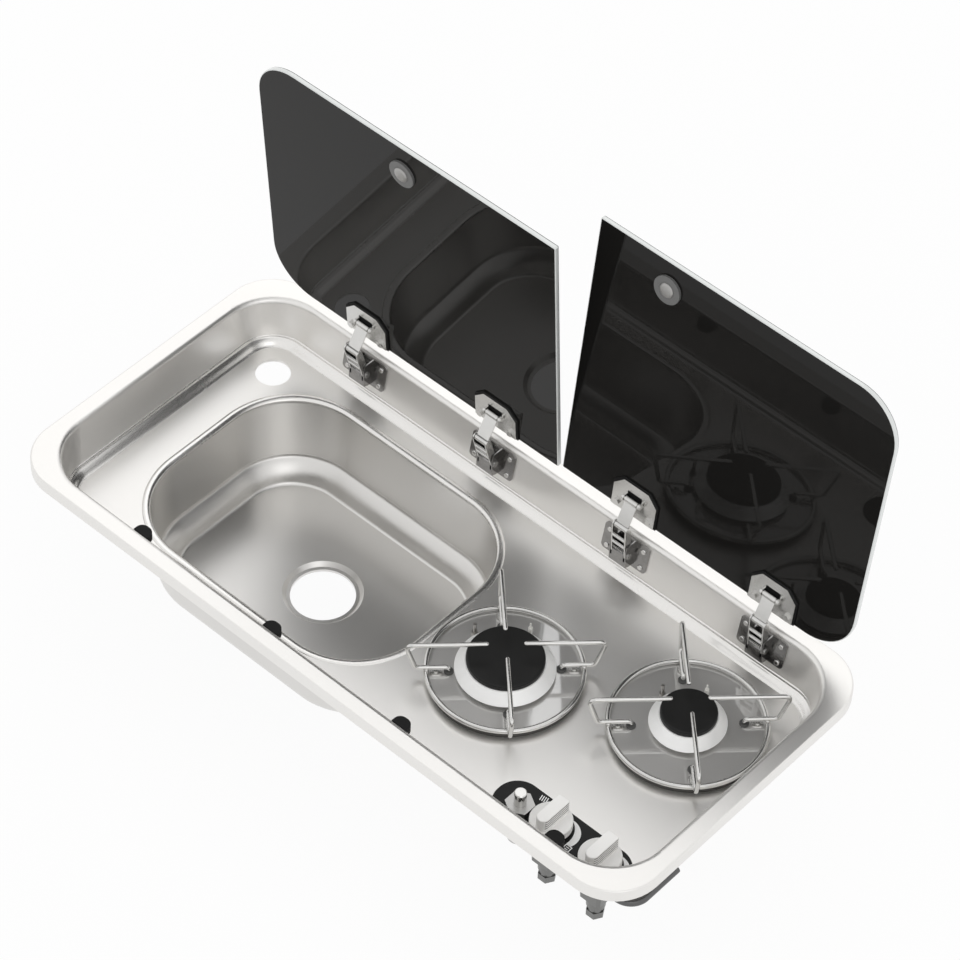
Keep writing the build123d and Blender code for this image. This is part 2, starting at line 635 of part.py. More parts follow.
for size, (tap_x, tap_y) in TAPS.items():
    here = Plane((tap_x, tap_y, 0))
    with BuildPart() as tap_body:
        with BuildSketch(here.offset(UNDER_FLOOR)):
            Circle(TAP_NECK_R)
        extrude(amount=TAP_BLOCK_TOP - UNDER_FLOOR)
        with BuildSketch(here.offset(TAP_BLOCK_TOP)):
            Rectangle(TAP_BLOCK, TAP_BLOCK)
        extrude(amount=TAP_BLOCK_BOTTOM - TAP_BLOCK_TOP)
        chamfer(tap_body.edges().filter_by(Axis.Z).filter_by(GeomType.LINE), BLOCK_CHAMFER)
        with BuildSketch(here.offset(TAP_BLOCK_BOTTOM)):
            Circle(TAP_BARREL_R)
        extrude(amount=TAP_BARREL_END - TAP_BLOCK_BOTTOM)
        with BuildSketch(here.offset(TAP_BARREL_END)):
            Circle(TAP_TAIL_R)
        extrude(amount=TAP_TAIL_END - TAP_BARREL_END)
        with BuildSketch(here.offset(TAP_TAIL_END)):
            RegularPolygon(TAP_NUT_R, 6)
        extrude(amount=TAP_NUT_END - TAP_TAIL_END)
        with BuildSketch(here.offset(UNDER_FLOOR)):
            Circle(SPINDLE_R + FIT)
        extrude(amount=-SPINDLE_DEPTH, mode=Mode.SUBTRACT)
    save(tap_body.part, f"tap_body_{size}")

    with BuildPart() as spindle:
        with BuildSketch(here.offset(SPINDLE_FOOT + GAP)):
            Circle(SPINDLE_R)
        extrude(amount=SKIRT_TOP + SPINDLE_RISE - SPINDLE_FOOT - GAP)
    save(spindle.part, f"tap_spindle_{size}")

    with BuildPart() as knob:
        with BuildSketch(here.offset(SKIRT_LOW)):
            Circle(KNOB_R)
        extrude(amount=KNOB_SKIRT_T)
        fillet(knob.edges().group_by(Axis.Z)[-1], KNOB_EDGE)
        with BuildSketch(here.offset(SKIRT_TOP)):
            SlotOverall(KNOB_BAR_LENGTH, KNOB_BAR_WIDTH, rotation=90)
        extrude(amount=KNOB_BAR_RISE)
        fillet(knob.edges().group_by(Axis.Z)[-1], KNOB_EDGE)
        with BuildSketch(here.offset(SKIRT_LOW)):
            Circle(SPINDLE_R + FIT)
        bore = KNOB_SKIRT_T + SPINDLE_RISE + KNOB_PUSH + END_PLAY
        extrude(amount=bore, mode=Mode.SUBTRACT)
    save(knob.part, f"knob_{size}")

igniter_at = Plane((IGNITER_X, IGNITER_Y, 0))
with BuildPart() as igniter_body:
    with BuildSketch(igniter_at.offset(UNDER_FLOOR)):
        Circle(IGNITER_BODY_R)
    extrude(amount=-IGNITER_BODY)
    with BuildSketch(igniter_at.offset(UNDER_FLOOR)):
        Circle(IGNITER_BARREL_R)
    extrude(amount=NUT_TOP - UNDER_FLOOR)
    with BuildSketch(igniter_at.offset(NUT_TOP)):
        Circle(BUTTON_R + FIT)
    extrude(amount=-BUTTON_BORE, mode=Mode.SUBTRACT)
save(igniter_body.part, "igniter_body")

with BuildPart() as igniter_nut:
    with BuildSketch(igniter_at.offset(PLATE_TOP)):
        RegularPolygon(IGNITER_NUT_R, 6, rotation=IGNITER_NUT_TURN)
        Circle(IGNITER_BARREL_R, mode=Mode.SUBTRACT)
    extrude(amount=IGNITER_NUT_T)
save(igniter_nut.part, "igniter_nut")

with BuildPart() as igniter_button:
    with BuildSketch(igniter_at.offset(BUTTON_TOP)):
        Circle(BUTTON_R)
    extrude(amount=NUT_TOP - BUTTON_BORE + BUTTON_TRAVEL + END_PLAY - BUTTON_TOP)
    chamfer(igniter_button.edges().group_by(Axis.Z)[-1], BUTTON_EDGE)
save(igniter_button.part, "igniter_button")

# ---------------------------------------------------------------- gas pipes
half_block = TAP_BLOCK / 2
rail_y = TAPS["large"][1]
with BuildPart() as link_pipe:
    with BuildSketch(Plane((TAPS["large"][0] + half_block, rail_y, RAIL_Z), z_dir=(1, 0, 0))):
        Circle(RAIL_R)
    extrude(amount=TAPS["small"][0] - TAPS["large"][0] - TAP_BLOCK)
save(link_pipe.part, "gas_link_pipe")

with BuildPart() as inlet_pipe:
    with BuildLine() as run:
        FilletPolyline(
            (TAPS["small"][0] + half_block, rail_y, RAIL_Z),
            (RAIL_TURN_X, rail_y, RAIL_Z),
            (RAIL_TURN_X, rail_y + INLET_RUN, RAIL_Z),
            radius=RAIL_BEND,
        )
    with BuildSketch(Plane(run.line @ 0, z_dir=run.line % 0)):
        Circle(RAIL_R)
    sweep(path=run.line)
save(inlet_pipe.part, "gas_inlet_pipe")

# ---------------------------------------------------------------- lid rests
with BuildPart() as rests:
    for rest_x in REST_X:
        top = GLASS_UNDER_Z - GAP
        with BuildSketch(Plane.YZ.offset(rest_x - REST_WIDTH / 2)):
            with BuildLine():
                Polyline(
                    (-wall_y(top) + GAP, top),
                    (REST_REACH_Y, top),
                    (REST_REACH_Y, top - REST_T),
                    (-wall_y(top - REST_T) + NEAR, top - REST_T),
                    close=True,
                )
            make_face()
        extrude(amount=REST_WIDTH)
    fillet(rests.edges().filter_by(Axis.Z).filter_by(
        lambda e: e.center().Y > REST_REACH_Y - NEAR), REST_CORNER)
save(rests.part, "lid_rests")

# ---------------------------------------------------------------- hinges, fixed parts
ALL_HINGES = HINGE_X["left"] + HINGE_X["right"]
flange_mid_z = (FLANGE_TOP_Z + FLANGE_BOTTOM_Z) / 2
wall_out = Vector(0, -cos(WALL_SLOPE), sin(WALL_SLOPE))


def wall_plane(x, z):
    """Plane on the inner face of the back wall, facing into the tray."""
    return Plane((x, wall_y(z), z), x_dir=(1, 0, 0), z_dir=wall_out)


box_foot_y = wall_y(FLANGE_BOTTOM_Z)
box_foot_z = FLANGE_BOTTOM_Z + BOX_ROOT
with BuildPart() as housings:
    for x in ALL_HINGES:
        with BuildSketch(wall_plane(x, flange_mid_z)):
            RectangleRounded(
                2 * FLANGE_X, (FLANGE_TOP_Z - FLANGE_BOTTOM_Z) / cos(WALL_SLOPE), FLANGE_CORNER
            )
        extrude(amount=FLANGE_T)
        for side in (-BOX_X - BOX_T, BOX_X):
            with BuildSketch(Plane.YZ.offset(x + side)):
                with BuildLine():
                    Polyline(
                        (wall_y(FLANGE_TOP_Z) - BOX_ROOT, FLANGE_TOP_Z),
                        (ARM_PIN_Y - BOX_TOP_REACH, FLANGE_TOP_Z),
                        (ARM_PIN_Y - BOX_REACH, ARM_PIN_Z + BOX_ABOVE),
                        (ARM_PIN_Y - BOX_REACH, ARM_PIN_Z - BOX_BELOW),
                        (box_foot_y - BOX_FOOT, box_foot_z),
                        (box_foot_y - BOX_ROOT, box_foot_z),
                        close=True,
                    )
                make_face()
                with Locations((ARM_PIN_Y, ARM_PIN_Z)):
                    Circle(PIN_R + FIT, mode=Mode.SUBTRACT)
            extrude(amount=BOX_T)
        with BuildSketch(Plane.YZ.offset(x - BOX_X)):
            with BuildLine():
                Polyline(
                    (ARM_PIN_Y - BOX_REACH, ARM_PIN_Z - BOX_BELOW),
                    (box_foot_y - BOX_FOOT, box_foot_z),
                    (box_foot_y - BOX_ROOT, box_foot_z),
                    (box_foot_y - BOX_ROOT, box_foot_z + FLANGE_T),
                    (ARM_PIN_Y - BOX_REACH + FLANGE_T, ARM_PIN_Z - BOX_BELOW),
                    close=True,
                )
            make_face()
        extrude(amount=2 * BOX_X)
        for half, low, high in (
            (BOX_X, -BOX_BELOW, -BOX_LIP), (ARM_X - GAP, -BOX_LIP - NEAR, TONGUE_TOP),
        ):
            with BuildSketch(Plane.YZ.offset(x - half)):
                with Locations((ARM_PIN_Y - BOX_REACH + BOX_T / 2, ARM_PIN_Z + (low + high) / 2)):
                    Rectangle(BOX_T, high - low)
            extrude(amount=2 * half)
save(housings.part, "hinge_housings")

with BuildPart() as rivets:
    for x in ALL_HINGES:
        for side in (-RIVET_X, RIVET_X):
            for z in RIVET_Z:
                with BuildSketch(wall_plane(x + side, z).offset(FLANGE_T)):
                    Circle(RIVET_R)
                extrude(amount=RIVET_T)
    fillet(rivets.edges().filter_by(GeomType.CIRCLE).filter_by(
        lambda e: (e.center() - Vector(0, wall_y(e.center().Z), e.center().Z)).dot(wall_out)
        > FLANGE_T + RIVET_T / 2), RIVET_DOME)
save(rivets.part, "housing_rivets")

with BuildPart() as pivots:
    for x in ALL_HINGES:
        reach = BOX_X + BOX_T
        with BuildSketch(Plane.YZ.offset(x - reach)):
            with Locations((ARM_PIN_Y, ARM_PIN_Z)):
                Circle(PIN_R)
        extrude(amount=2 * reach)
        for start in (x - reach - PIN_HEAD_T, x + reach):
            with BuildSketch(Plane.YZ.offset(start)):
                with Locations((ARM_PIN_Y, ARM_PIN_Z)):
                    Circle(PIVOT_HEAD_R)
            extrude(amount=PIN_HEAD_T)
save(pivots.part, "hinge_pivots")


# ---------------------------------------------------------------- lid geometry
def swing(y, z, angle):
    """A point of the closed lid, given in (y, z), after the lid opens by angle degrees."""
    turn = radians(angle)
    dy = y - SWING_Y
    dz = z - SWING_Z
    return SWING_Y + dy * cos(turn) + dz * sin(turn), SWING_Z - dy * sin(turn) + dz * cos(turn)


def lid_plane(angle, out):
    """Plane parallel to the glass, out in front of its inner face; local y runs up the lid."""
    turn = radians(angle)
    y, z = swing(GLASS_BACK_Y, GLASS_UNDER_Z - out, angle)
    return Plane((0, y, z), x_dir=(1, 0, 0), z_dir=(0, -sin(turn), -cos(turn)))


def linkage(angle):
    """Places of the link's two pins, in (y, z), with the lid open by angle degrees."""
    top_y, top_z = swing(GLASS_BACK_Y - LINK_PIN_UP, GLASS_UNDER_Z - LINK_PIN_OUT, angle)
    dy = top_y - ARM_PIN_Y
    dz = top_z - ARM_PIN_Z
    span = hypot(dy, dz)
    bend = acos((ARM_LENGTH**2 + span**2 - LINK_LENGTH**2) / (2 * ARM_LENGTH * span))
    aim = atan2(dz, dy) + bend
    knee_y = ARM_PIN_Y + ARM_LENGTH * cos(aim)
    knee_z = ARM_PIN_Z + ARM_LENGTH * sin(aim)
    return (top_y, top_z), (knee_y, knee_z)


GLASS_SPAN = {
    "left": (-GLASS_OUTER_X, GLASS_SPLIT_X - GLASS_SPLIT_GAP / 2),
    "right": (GLASS_SPLIT_X + GLASS_SPLIT_GAP / 2, GLASS_OUTER_X),
}
LEAF_OUT = PAD_T + LEAF_T

for side, angle in OPEN_ANGLE.items():
    low_x, high_x = GLASS_SPAN[side]
    hinges = HINGE_X[side]
    knob_x, knob_up = KNOB_PLACE[side]
    (top_y, top_z), (knee_y, knee_z) = linkage(angle)
    screws = [(x + dx, SCREW_UP) for x in hinges for dx in (-SCREW_X, SCREW_X)]

    with BuildPart() as glass:
        with BuildSketch(lid_plane(angle, 0)) as pane:
            with Locations(((low_x + high_x) / 2, GLASS_DEPTH / 2)):
                Rectangle(high_x - low_x, GLASS_DEPTH)
            outer = pane.vertices().group_by(Axis.X)[0 if side == "left" else -1]
            fillet(outer, GLASS_CORNER)
        extrude(amount=-GLASS_T)
        chamfer(glass.edges(), GLASS_EDGE)
        with BuildSketch(lid_plane(angle, PAD_T)):
            with Locations(*screws):
                Circle(SCREW_R + GAP)
            with Locations((knob_x, knob_up)):
                Circle(LID_STUD_R + GAP)
        extrude(amount=-GLASS_T - 2 * PAD_T, mode=Mode.SUBTRACT)
    save(glass.part, f"glass_{side}")

    with BuildPart() as pads:
        with BuildSketch(lid_plane(angle, 0)) as pad_face:
            for x in hinges:
                low = LEAF_FOOT - PAD_MARGIN + PAD_FOOT
                high = LEAF_TOP + PAD_MARGIN
                with Locations((x, (low + high) / 2)):
                    Rectangle(LEAF_WIDTH + 2 * PAD_MARGIN, high - low)
            chamfer(pad_face.vertices().group_by(Axis.Y)[-1], LEAF_CHAMFER)
            with Locations(*screws):
                Circle(SCREW_R + GAP, mode=Mode.SUBTRACT)
        extrude(amount=PAD_T)
    save(pads.part, f"hinge_pads_{side}")

    with BuildPart() as leaves:
        with BuildSketch(lid_plane(angle, PAD_T)) as leaf_face:
            for x in hinges:
                with Locations((x, (LEAF_FOOT + LEAF_TOP) / 2)):
                    Rectangle(LEAF_WIDTH, LEAF_TOP - LEAF_FOOT)
            chamfer(leaf_face.vertices().group_by(Axis.Y)[-1], LEAF_CHAMFER)
            for x in hinges:
                with Locations((x, (WINDOW_LOW + WINDOW_HIGH) / 2)):
                    Rectangle(WINDOW_WIDTH, WINDOW_HIGH - WINDOW_LOW, mode=Mode.SUBTRACT)
            with Locations(*screws):
                Circle(SCREW_R + GAP, mode=Mode.SUBTRACT)
        extrude(amount=LEAF_T)
        base = lid_plane(angle, 0)
        for x in hinges:
            for start in (x - EAR_X - EAR_T, x + EAR_X):
                edge_on = Plane((start, base.origin.Y, base.origin.Z), x_dir=base.y_dir, z_dir=(1, 0, 0))
                flip = 1 if edge_on.y_dir.dot(base.z_dir) > 0 else -1
                with BuildSketch(edge_on):
                    with Locations((LINK_PIN_UP, flip * LINK_PIN_OUT)):
                        Circle(EAR_R)
                    with Locations((LINK_PIN_UP, flip * (PAD_T + LINK_PIN_OUT) / 2)):
                        Rectangle(2 * EAR_R, LINK_PIN_OUT - PAD_T)
                    with Locations((LINK_PIN_UP, flip * LINK_PIN_OUT)):
                        Circle(PIN_R + FIT, mode=Mode.SUBTRACT)
                extrude(amount=EAR_T)
    save(leaves.part, f"hinge_leaves_{side}")

    with BuildPart() as screw_set:
        with BuildSketch(lid_plane(angle, LEAF_OUT)):
            with Locations(*screws):
                RegularPolygon(SCREW_HEAD_R, 6)
        extrude(amount=SCREW_HEAD_T)
        with BuildSketch(lid_plane(angle, LEAF_OUT)):
            with Locations(*screws):
                Circle(SCREW_R)
        extrude(amount=-LEAF_OUT - GLASS_T)
        with BuildSketch(lid_plane(angle, -GLASS_T)):
            with Locations(*screws):
                Circle(SCREW_CAP_R)
        extrude(amount=-SCREW_HEAD_T)
    save(screw_set.part, f"hinge_screws_{side}")

    with BuildPart() as link_pins:
        for x in hinges:
            reach = EAR_X + EAR_T
            with BuildSketch(Plane.YZ.offset(x - reach)):
                with Locations((top_y, top_z)):
                    Circle(PIN_R)
            extrude(amount=2 * reach)
            for start in (x - reach - PIN_HEAD_T, x + reach):
                with BuildSketch(Plane.YZ.offset(start)):
                    with Locations((top_y, top_z)):
                        Circle(PIN_HEAD_R)
                extrude(amount=PIN_HEAD_T)
    save(link_pins.part, f"link_pins_{side}")

    link_turn = degrees(atan2(top_z - knee_z, top_y - knee_y))
    with BuildPart() as links:
        for x in hinges:
            with BuildSketch(Plane.YZ.offset(x - LINK_WIDTH / 2)):
                with Locations((top_y, top_z), (knee_y, knee_z)):
                    Circle(LINK_EYE_R)
                with Locations(((top_y + knee_y) / 2, (top_z + knee_z) / 2)):
                    Rectangle(LINK_LENGTH, LINK_T, rotation=link_turn)
                with Locations((top_y, top_z)):
                    Circle(PIN_R + FIT, mode=Mode.SUBTRACT)
            extrude(amount=LINK_WIDTH)
            with BuildSketch(Plane.YZ.offset(x - ARM_X + GAP)):
                with Locations((knee_y, knee_z)):
                    Circle(PIN_R)
            extrude(amount=2 * (ARM_X - GAP))
    save(links.part, f"hinge_links_{side}")

    arm_turn = degrees(atan2(knee_z - ARM_PIN_Z, knee_y - ARM_PIN_Y))
    along = Vector(cos(radians(arm_turn)), sin(radians(arm_turn)), 0)
    with BuildPart() as arms:
        for x in hinges:
            for start in (x - ARM_X - ARM_T, x + ARM_X):
                with BuildSketch(Plane.YZ.offset(start)):
                    with Locations(((ARM_PIN_Y + knee_y) / 2, (ARM_PIN_Z + knee_z) / 2)):
                        SlotCenterToCenter(ARM_LENGTH, 2 * ARM_NOSE_R, rotation=arm_turn)
                    with Locations((ARM_PIN_Y, ARM_PIN_Z)):
                        Circle(PIN_R + FIT, mode=Mode.SUBTRACT)
                extrude(amount=ARM_T)
            for reach in ARM_BARS:
                bar_y = ARM_PIN_Y + reach * along.X - ARM_BAR_BACK
                with BuildSketch(Plane.YZ.offset(x - ARM_X)):
                    with Locations((bar_y, ARM_PIN_Z + reach * along.Y)):
                        Circle(ARM_BAR_R)
                extrude(amount=2 * ARM_X)
    save(arms.part, f"hinge_arms_{side}")

    with BuildPart() as springs:
        for x in hinges:
            height = SPRING_PITCH * SPRING_TURNS
            start = Plane((x - height / 2, ARM_PIN_Y, ARM_PIN_Z), z_dir=(1, 0, 0))
            coil = start.location * Helix(SPRING_PITCH, height, SPRING_COIL_R)
            with BuildSketch(Plane(coil @ 0, z_dir=coil % 0)):
                Circle(SPRING_WIRE_R)
            sweep(path=coil)
    save(springs.part, f"hinge_springs_{side}")

    with BuildPart() as lid_knob:
        with BuildSketch(lid_plane(angle, -GLASS_T)):
            with Locations((knob_x, knob_up)):
                Circle(LID_KNOB_R)
        extrude(amount=-LID_KNOB_T)
        outer_rim = lid_knob.faces().sort_by(Axis(glass.part.center(), lid_plane(angle, 0).z_dir))[0]
        fillet(outer_rim.edges(), LID_KNOB_EDGE)
        with BuildSketch(lid_plane(angle, WASHER_T)):
            with Locations((knob_x, knob_up)):
                Circle(LID_STUD_R)
        extrude(amount=-WASHER_T - GLASS_T)
    save(lid_knob.part, f"lid_knob_{side}")

    with BuildPart() as washer:
        with BuildSketch(lid_plane(angle, 0)):
            with Locations((knob_x, knob_up)):
                Circle(WASHER_R)
                Circle(LID_STUD_R + FIT, mode=Mode.SUBTRACT)
        extrude(amount=WASHER_T)
    save(washer.part, f"knob_washer_{side}")
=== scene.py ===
"""Looks for a drop-in steel sink with a two-burner gas hob and two hinged glass lids.

The file is laid out as an add-on and is run as a script.  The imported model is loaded
first and stays fixed: its nodes get their finishes here, and finer pieces stand in
for some of them.  Lengths are in metres, in the model's own frame: the origin is at
the centre of the rim's top plane, +X runs to the hob end, +Y to the hinge side.
"""
from math import acos, cos, pi, radians, sin

import bpy
import numpy as np
from bpy.props import FloatProperty, FloatVectorProperty, IntProperty, PointerProperty
from bpy.types import Operator, Panel, PropertyGroup
from mathutils import Matrix, Vector


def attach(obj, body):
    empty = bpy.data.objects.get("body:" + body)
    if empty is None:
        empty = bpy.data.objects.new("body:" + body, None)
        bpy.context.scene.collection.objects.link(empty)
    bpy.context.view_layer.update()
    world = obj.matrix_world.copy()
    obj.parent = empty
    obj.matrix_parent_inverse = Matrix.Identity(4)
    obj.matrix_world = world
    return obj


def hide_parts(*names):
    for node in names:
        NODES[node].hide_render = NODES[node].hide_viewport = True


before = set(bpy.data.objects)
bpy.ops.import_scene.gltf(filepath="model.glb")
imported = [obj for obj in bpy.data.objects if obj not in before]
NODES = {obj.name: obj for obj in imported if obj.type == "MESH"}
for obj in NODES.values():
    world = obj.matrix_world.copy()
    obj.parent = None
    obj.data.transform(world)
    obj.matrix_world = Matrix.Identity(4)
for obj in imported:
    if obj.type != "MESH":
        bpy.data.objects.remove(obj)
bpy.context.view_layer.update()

bl_info = {
    "name": "Sink And Hob Looks",
    "version": (1, 0, 0),
    "blender": (4, 5, 0),
    "location": "View3D > Sidebar > Sink Hob",
    "description": "Finishes and fine pieces for a drop-in sink with a two-burner hob",
    "category": "Object",
}

MM = 0.001

# ---------------------------------------------------------------- places, as in the model
# All in millimetres and degrees.  A rounded rectangle is given as half its length, half
# its width and its corner radius.
BURNERS = {
    "large": dict(x=107.1, y=-17.8, cup=30.0),
    "small": dict(x=269.0, y=49.6, cup=21.5),
}
TAPS = {"large": (254.0, -120.5), "small": (311.5, -120.5)}
FLOOR, SPILL_TOP, PLATE_TOP = -53.0, -47.0, -51.5
SPILL_R = 72.6
TRAY_OPENING = (361.5, 158.5, 58.0)
TRAY_FOOT = (351.5, 148.5, 36.0)
BOWL_CENTRE = (-138.0, -2.0)
BOWL_MOUTH = (158.0, 119.0, 79.0)
BOWL_DEPTH, BOWL_DRAFT, BOWL_FOOT_R = 97.0, 3.5, 20.0
PRONG_TURNS = (45.0, 135.0, 225.0, 315.0)
SWING_Y, SWING_Z = 166.3, 4.0
OPEN_ANGLE = {"left": 85.3, "right": 95.65}
GLASS_BACK_Y, GLASS_UNDER_Z = 153.0, -2.5
GLASS_SPAN = {"left": (-355.0, 12.0), "right": (15.0, 355.0)}
GLASS_DEPTH, GLASS_T, GLASS_CORNER = 306.0, 5.0, 48.0


# ---------------------------------------------------------------- settings
class SinkHobFinishes(PropertyGroup):
    """Colours and roughnesses that a user would change"""

    steel_color: FloatVectorProperty(
        name="Steel Colour", description="Base colour of the satin pressings",
        subtype="COLOR", size=3, min=0, max=1, default=(0.83, 0.817, 0.795))
    steel_roughness: FloatProperty(
        name="Steel Roughness", description="Roughness of the satin pressings",
        subtype="FACTOR", min=0, max=1, default=0.34)
    glass_color: FloatVectorProperty(
        name="Glass Colour", description="Colour of the black safety glass",
        subtype="COLOR", size=3, min=0, max=1, default=(0.0105, 0.0100, 0.0094))
    knob_color: FloatVectorProperty(
        name="Knob Colour", description="Colour of the moulded tap knobs",
        subtype="COLOR", size=3, min=0, max=1, default=(0.91, 0.90, 0.88))


class SinkHobWires(PropertyGroup):
    """Sizes of the bent wire pan supports"""

    ring_wire: FloatProperty(
        name="Ring Wire", description="Diameter of the ring's wire",
        subtype="DISTANCE", unit="LENGTH", min=0.002, max=0.008, default=0.0052)
    prong_wire: FloatProperty(
        name="Prong Wire", description="Diameter of the prongs' wire",
        subtype="DISTANCE", unit="LENGTH", min=0.002, max=0.008, default=0.0044)
    sides: IntProperty(
        name="Wire Sides", description="Faces round each wire", min=8, max=48, default=20)


class SinkHobStage(PropertyGroup):
    """Camera and light of the studio"""

    azimuth: FloatProperty(
        name="Azimuth", description="Camera's turn about the vertical",
        subtype="ANGLE", unit="ROTATION", default=radians(40.18))
    elevation: FloatProperty(
        name="Elevation", description="Camera's angle above the horizon",
        subtype="ANGLE", unit="ROTATION", default=radians(48.15))
    roll: FloatProperty(
        name="Roll", description="Camera's turn about its own axis",
        subtype="ANGLE", unit="ROTATION", default=radians(2.73))
    world_level: FloatProperty(
        name="World Level", description="Strength of the even light from all round",
        min=0, max=2, default=1.0)
    key_power: FloatProperty(
        name="Key Power", description="Power of the large soft lamp",
        unit="POWER", min=0, default=12.0)
    floor_color: FloatVectorProperty(
        name="Floor Colour", description="Colour of the pale floor",
        subtype="COLOR", size=3, min=0, max=1, default=(0.85, 0.85, 0.85))


# ---------------------------------------------------------------- shader groups
def new_group(name, inputs, outputs):
    """Empty shader group with the named sockets, and its input and output nodes."""
    group = bpy.data.node_groups.new(name, "ShaderNodeTree")
    kinds = {"f": "NodeSocketFloat", "c": "NodeSocketColor", "v": "NodeSocketVector"}
    for label, kind, value in inputs:
        socket = group.interface.new_socket(label, in_out="INPUT", socket_type=kinds[kind])
        if value is not None:
            socket.default_value = value
    for label, kind in outputs:
        group.interface.new_socket(label, in_out="OUTPUT", socket_type=kinds[kind])
    return group, group.nodes.new("NodeGroupInput"), group.nodes.new("NodeGroupOutput")


def maths(tree, operation, a, b=0.0, c=0.0):
    """One Math node; numbers are set on it and sockets are linked."""
    node = tree.nodes.new("ShaderNodeMath")
    node.operation = operation
    for socket, value in zip(node.inputs, (a, b, c)):
        if isinstance(value, (int, float)):
            socket.default_value = value
        else:
            tree.links.new(value, socket)
    return node.outputs[0]


def noise(tree, vector, scale, detail):
    """Noise over a vector, about 0 to 1; the scale is a socket."""
    node = tree.nodes.new("ShaderNodeTexNoise")
    node.inputs["Detail"].default_value = detail
    node.inputs["Roughness"].default_value = 0.55
    tree.links.new(scale, node.inputs["Scale"])
    tree.links.new(vector, node.inputs["Vector"])
    return node.outputs["Fac"]


def surface_grain():
    """Group: slow mottling shifts colour and roughness, a fine grain gives the height.

    Colour is the base times 1 + shift * (mottle - 0.5), roughness is the base plus
    shift * (mottle - 0.5), and the height is the fine noise.
    """
    group, given, out = new_group(
        "Surface Grain",
        [("Vector", "v", None), ("Color", "c", (0.5, 0.5, 0.5, 1)), ("Color Shift", "f", 0.1),
         ("Roughness", "f", 0.4), ("Roughness Shift", "f", 0.1), ("Mottle Scale", "f", 20.0),
         ("Grain Scale", "f", 900.0)],
        [("Color", "c"), ("Roughness", "f"), ("Height", "f")])
    mottle = maths(group, "SUBTRACT",
                   noise(group, given.outputs["Vector"], given.outputs["Mottle Scale"], 3.0),
                   0.5)
    fine = noise(group, given.outputs["Vector"], given.outputs["Grain Scale"], 2.0)
    level = maths(group, "MULTIPLY_ADD", mottle, given.outputs["Color Shift"], 1.0)
    tint = group.nodes.new("ShaderNodeVectorMath")
    tint.operation = "SCALE"
    group.links.new(given.outputs["Color"], tint.inputs[0])
    group.links.new(level, tint.inputs["Scale"])
    group.links.new(tint.outputs[0], out.inputs["Color"])
    group.links.new(
        maths(group, "MULTIPLY_ADD", mottle, given.outputs["Roughness Shift"],
              given.outputs["Roughness"]), out.inputs["Roughness"])
    group.links.new(fine, out.inputs["Height"])
    return group


def turned_rings():
    """Group: the fine lathe rings of a turned face, a sine of the distance from the axis."""
    group, given, out = new_group(
        "Turned Rings", [("Vector", "v", None), ("Rings Per Metre", "f", 1400.0)],
        [("Height", "f")])
    apart = group.nodes.new("ShaderNodeSeparateXYZ")
    group.links.new(given.outputs["Vector"], apart.inputs[0])
    across = maths(group, "POWER", apart.outputs["X"], 2.0)
    along = maths(group, "POWER", apart.outputs["Y"], 2.0)
    distance = maths(group, "SQRT", maths(group, "ADD", across, along))
    turns = maths(group, "MULTIPLY", distance, given.outputs["Rings Per Metre"])
    wave = maths(group, "SINE", maths(group, "MULTIPLY", turns, 2 * pi))
    group.links.new(wave, out.inputs["Height"])
    return group


def place_group(tree, group, **values):
    """One group node with its plain values set; sockets are linked."""
    node = tree.nodes.new("ShaderNodeGroup")
    node.node_tree = group
    for label, value in values.items():
        socket = node.inputs[label.replace("_", " ")]
        if isinstance(value, bpy.types.NodeSocket):
            tree.links.new(value, socket)
        else:
            socket.default_value = value
    return node


# ---------------------------------------------------------------- materials
GROUPS = {}
FINISH = {}


def object_vector(tree, centre=(0, 0, 0), scale=(1, 1, 1)):
    """Object coordinates, centred and stretched by a Mapping node."""
    coordinates = tree.nodes.new("ShaderNodeTexCoord")
    mapping = tree.nodes.new("ShaderNodeMapping")
    mapping.inputs["Location"].default_value = [-c * s for c, s in zip(centre, scale)]
    mapping.inputs["Scale"].default_value = scale
    tree.links.new(coordinates.outputs["Object"], mapping.inputs["Vector"])
    return mapping.outputs["Vector"]


def finish(name, color, roughness, metallic, shift, mottle, grain, depth,
           stretch=(1, 1, 1), rings=None, **constants):
    """One material: a grained Principled surface.

    `shift` is how far the mottling moves the colour and the roughness, `mottle` and
    `grain` are noise scales per metre, `depth` is the bump's distance in metres, and
    `rings` is (axis, rings per metre, weight) of a turned face.  The constants go on
    the shader's own sockets.
    """
    material = bpy.data.materials.new(name)
    material.use_nodes = True
    tree = material.node_tree
    shader = tree.nodes["Principled BSDF"]
    shader.inputs["Metallic"].default_value = metallic
    for label, value in constants.items():
        shader.inputs[label.replace("_", " ")].default_value = value
    vector = object_vector(tree, scale=stretch)
    grained = place_group(
        tree, GROUPS["grain"], Vector=vector, Color=(*color, 1), Color_Shift=shift[0],
        Roughness=roughness, Roughness_Shift=shift[1], Mottle_Scale=mottle, Grain_Scale=grain)
    tree.links.new(grained.outputs["Color"], shader.inputs["Base Color"])
    tree.links.new(grained.outputs["Roughness"], shader.inputs["Roughness"])
    height = grained.outputs["Height"]
    if rings:
        centre, per_metre, weight = rings
        turned = place_group(tree, GROUPS["rings"], Vector=object_vector(tree, centre),
                             Rings_Per_Metre=per_metre)
        height = maths(tree, "MULTIPLY_ADD", turned.outputs["Height"], weight, height)
    bump = tree.nodes.new("ShaderNodeBump")
    bump.inputs["Strength"].default_value = 1.0
    bump.inputs["Distance"].default_value = depth
    tree.links.new(height, bump.inputs["Height"])
    tree.links.new(bump.outputs["Normal"], shader.inputs["Normal"])
    FINISH[name] = material


def shaded(color, share):
    """A colour scaled down to a share of its brightness."""
    return tuple(share * channel for channel in color)


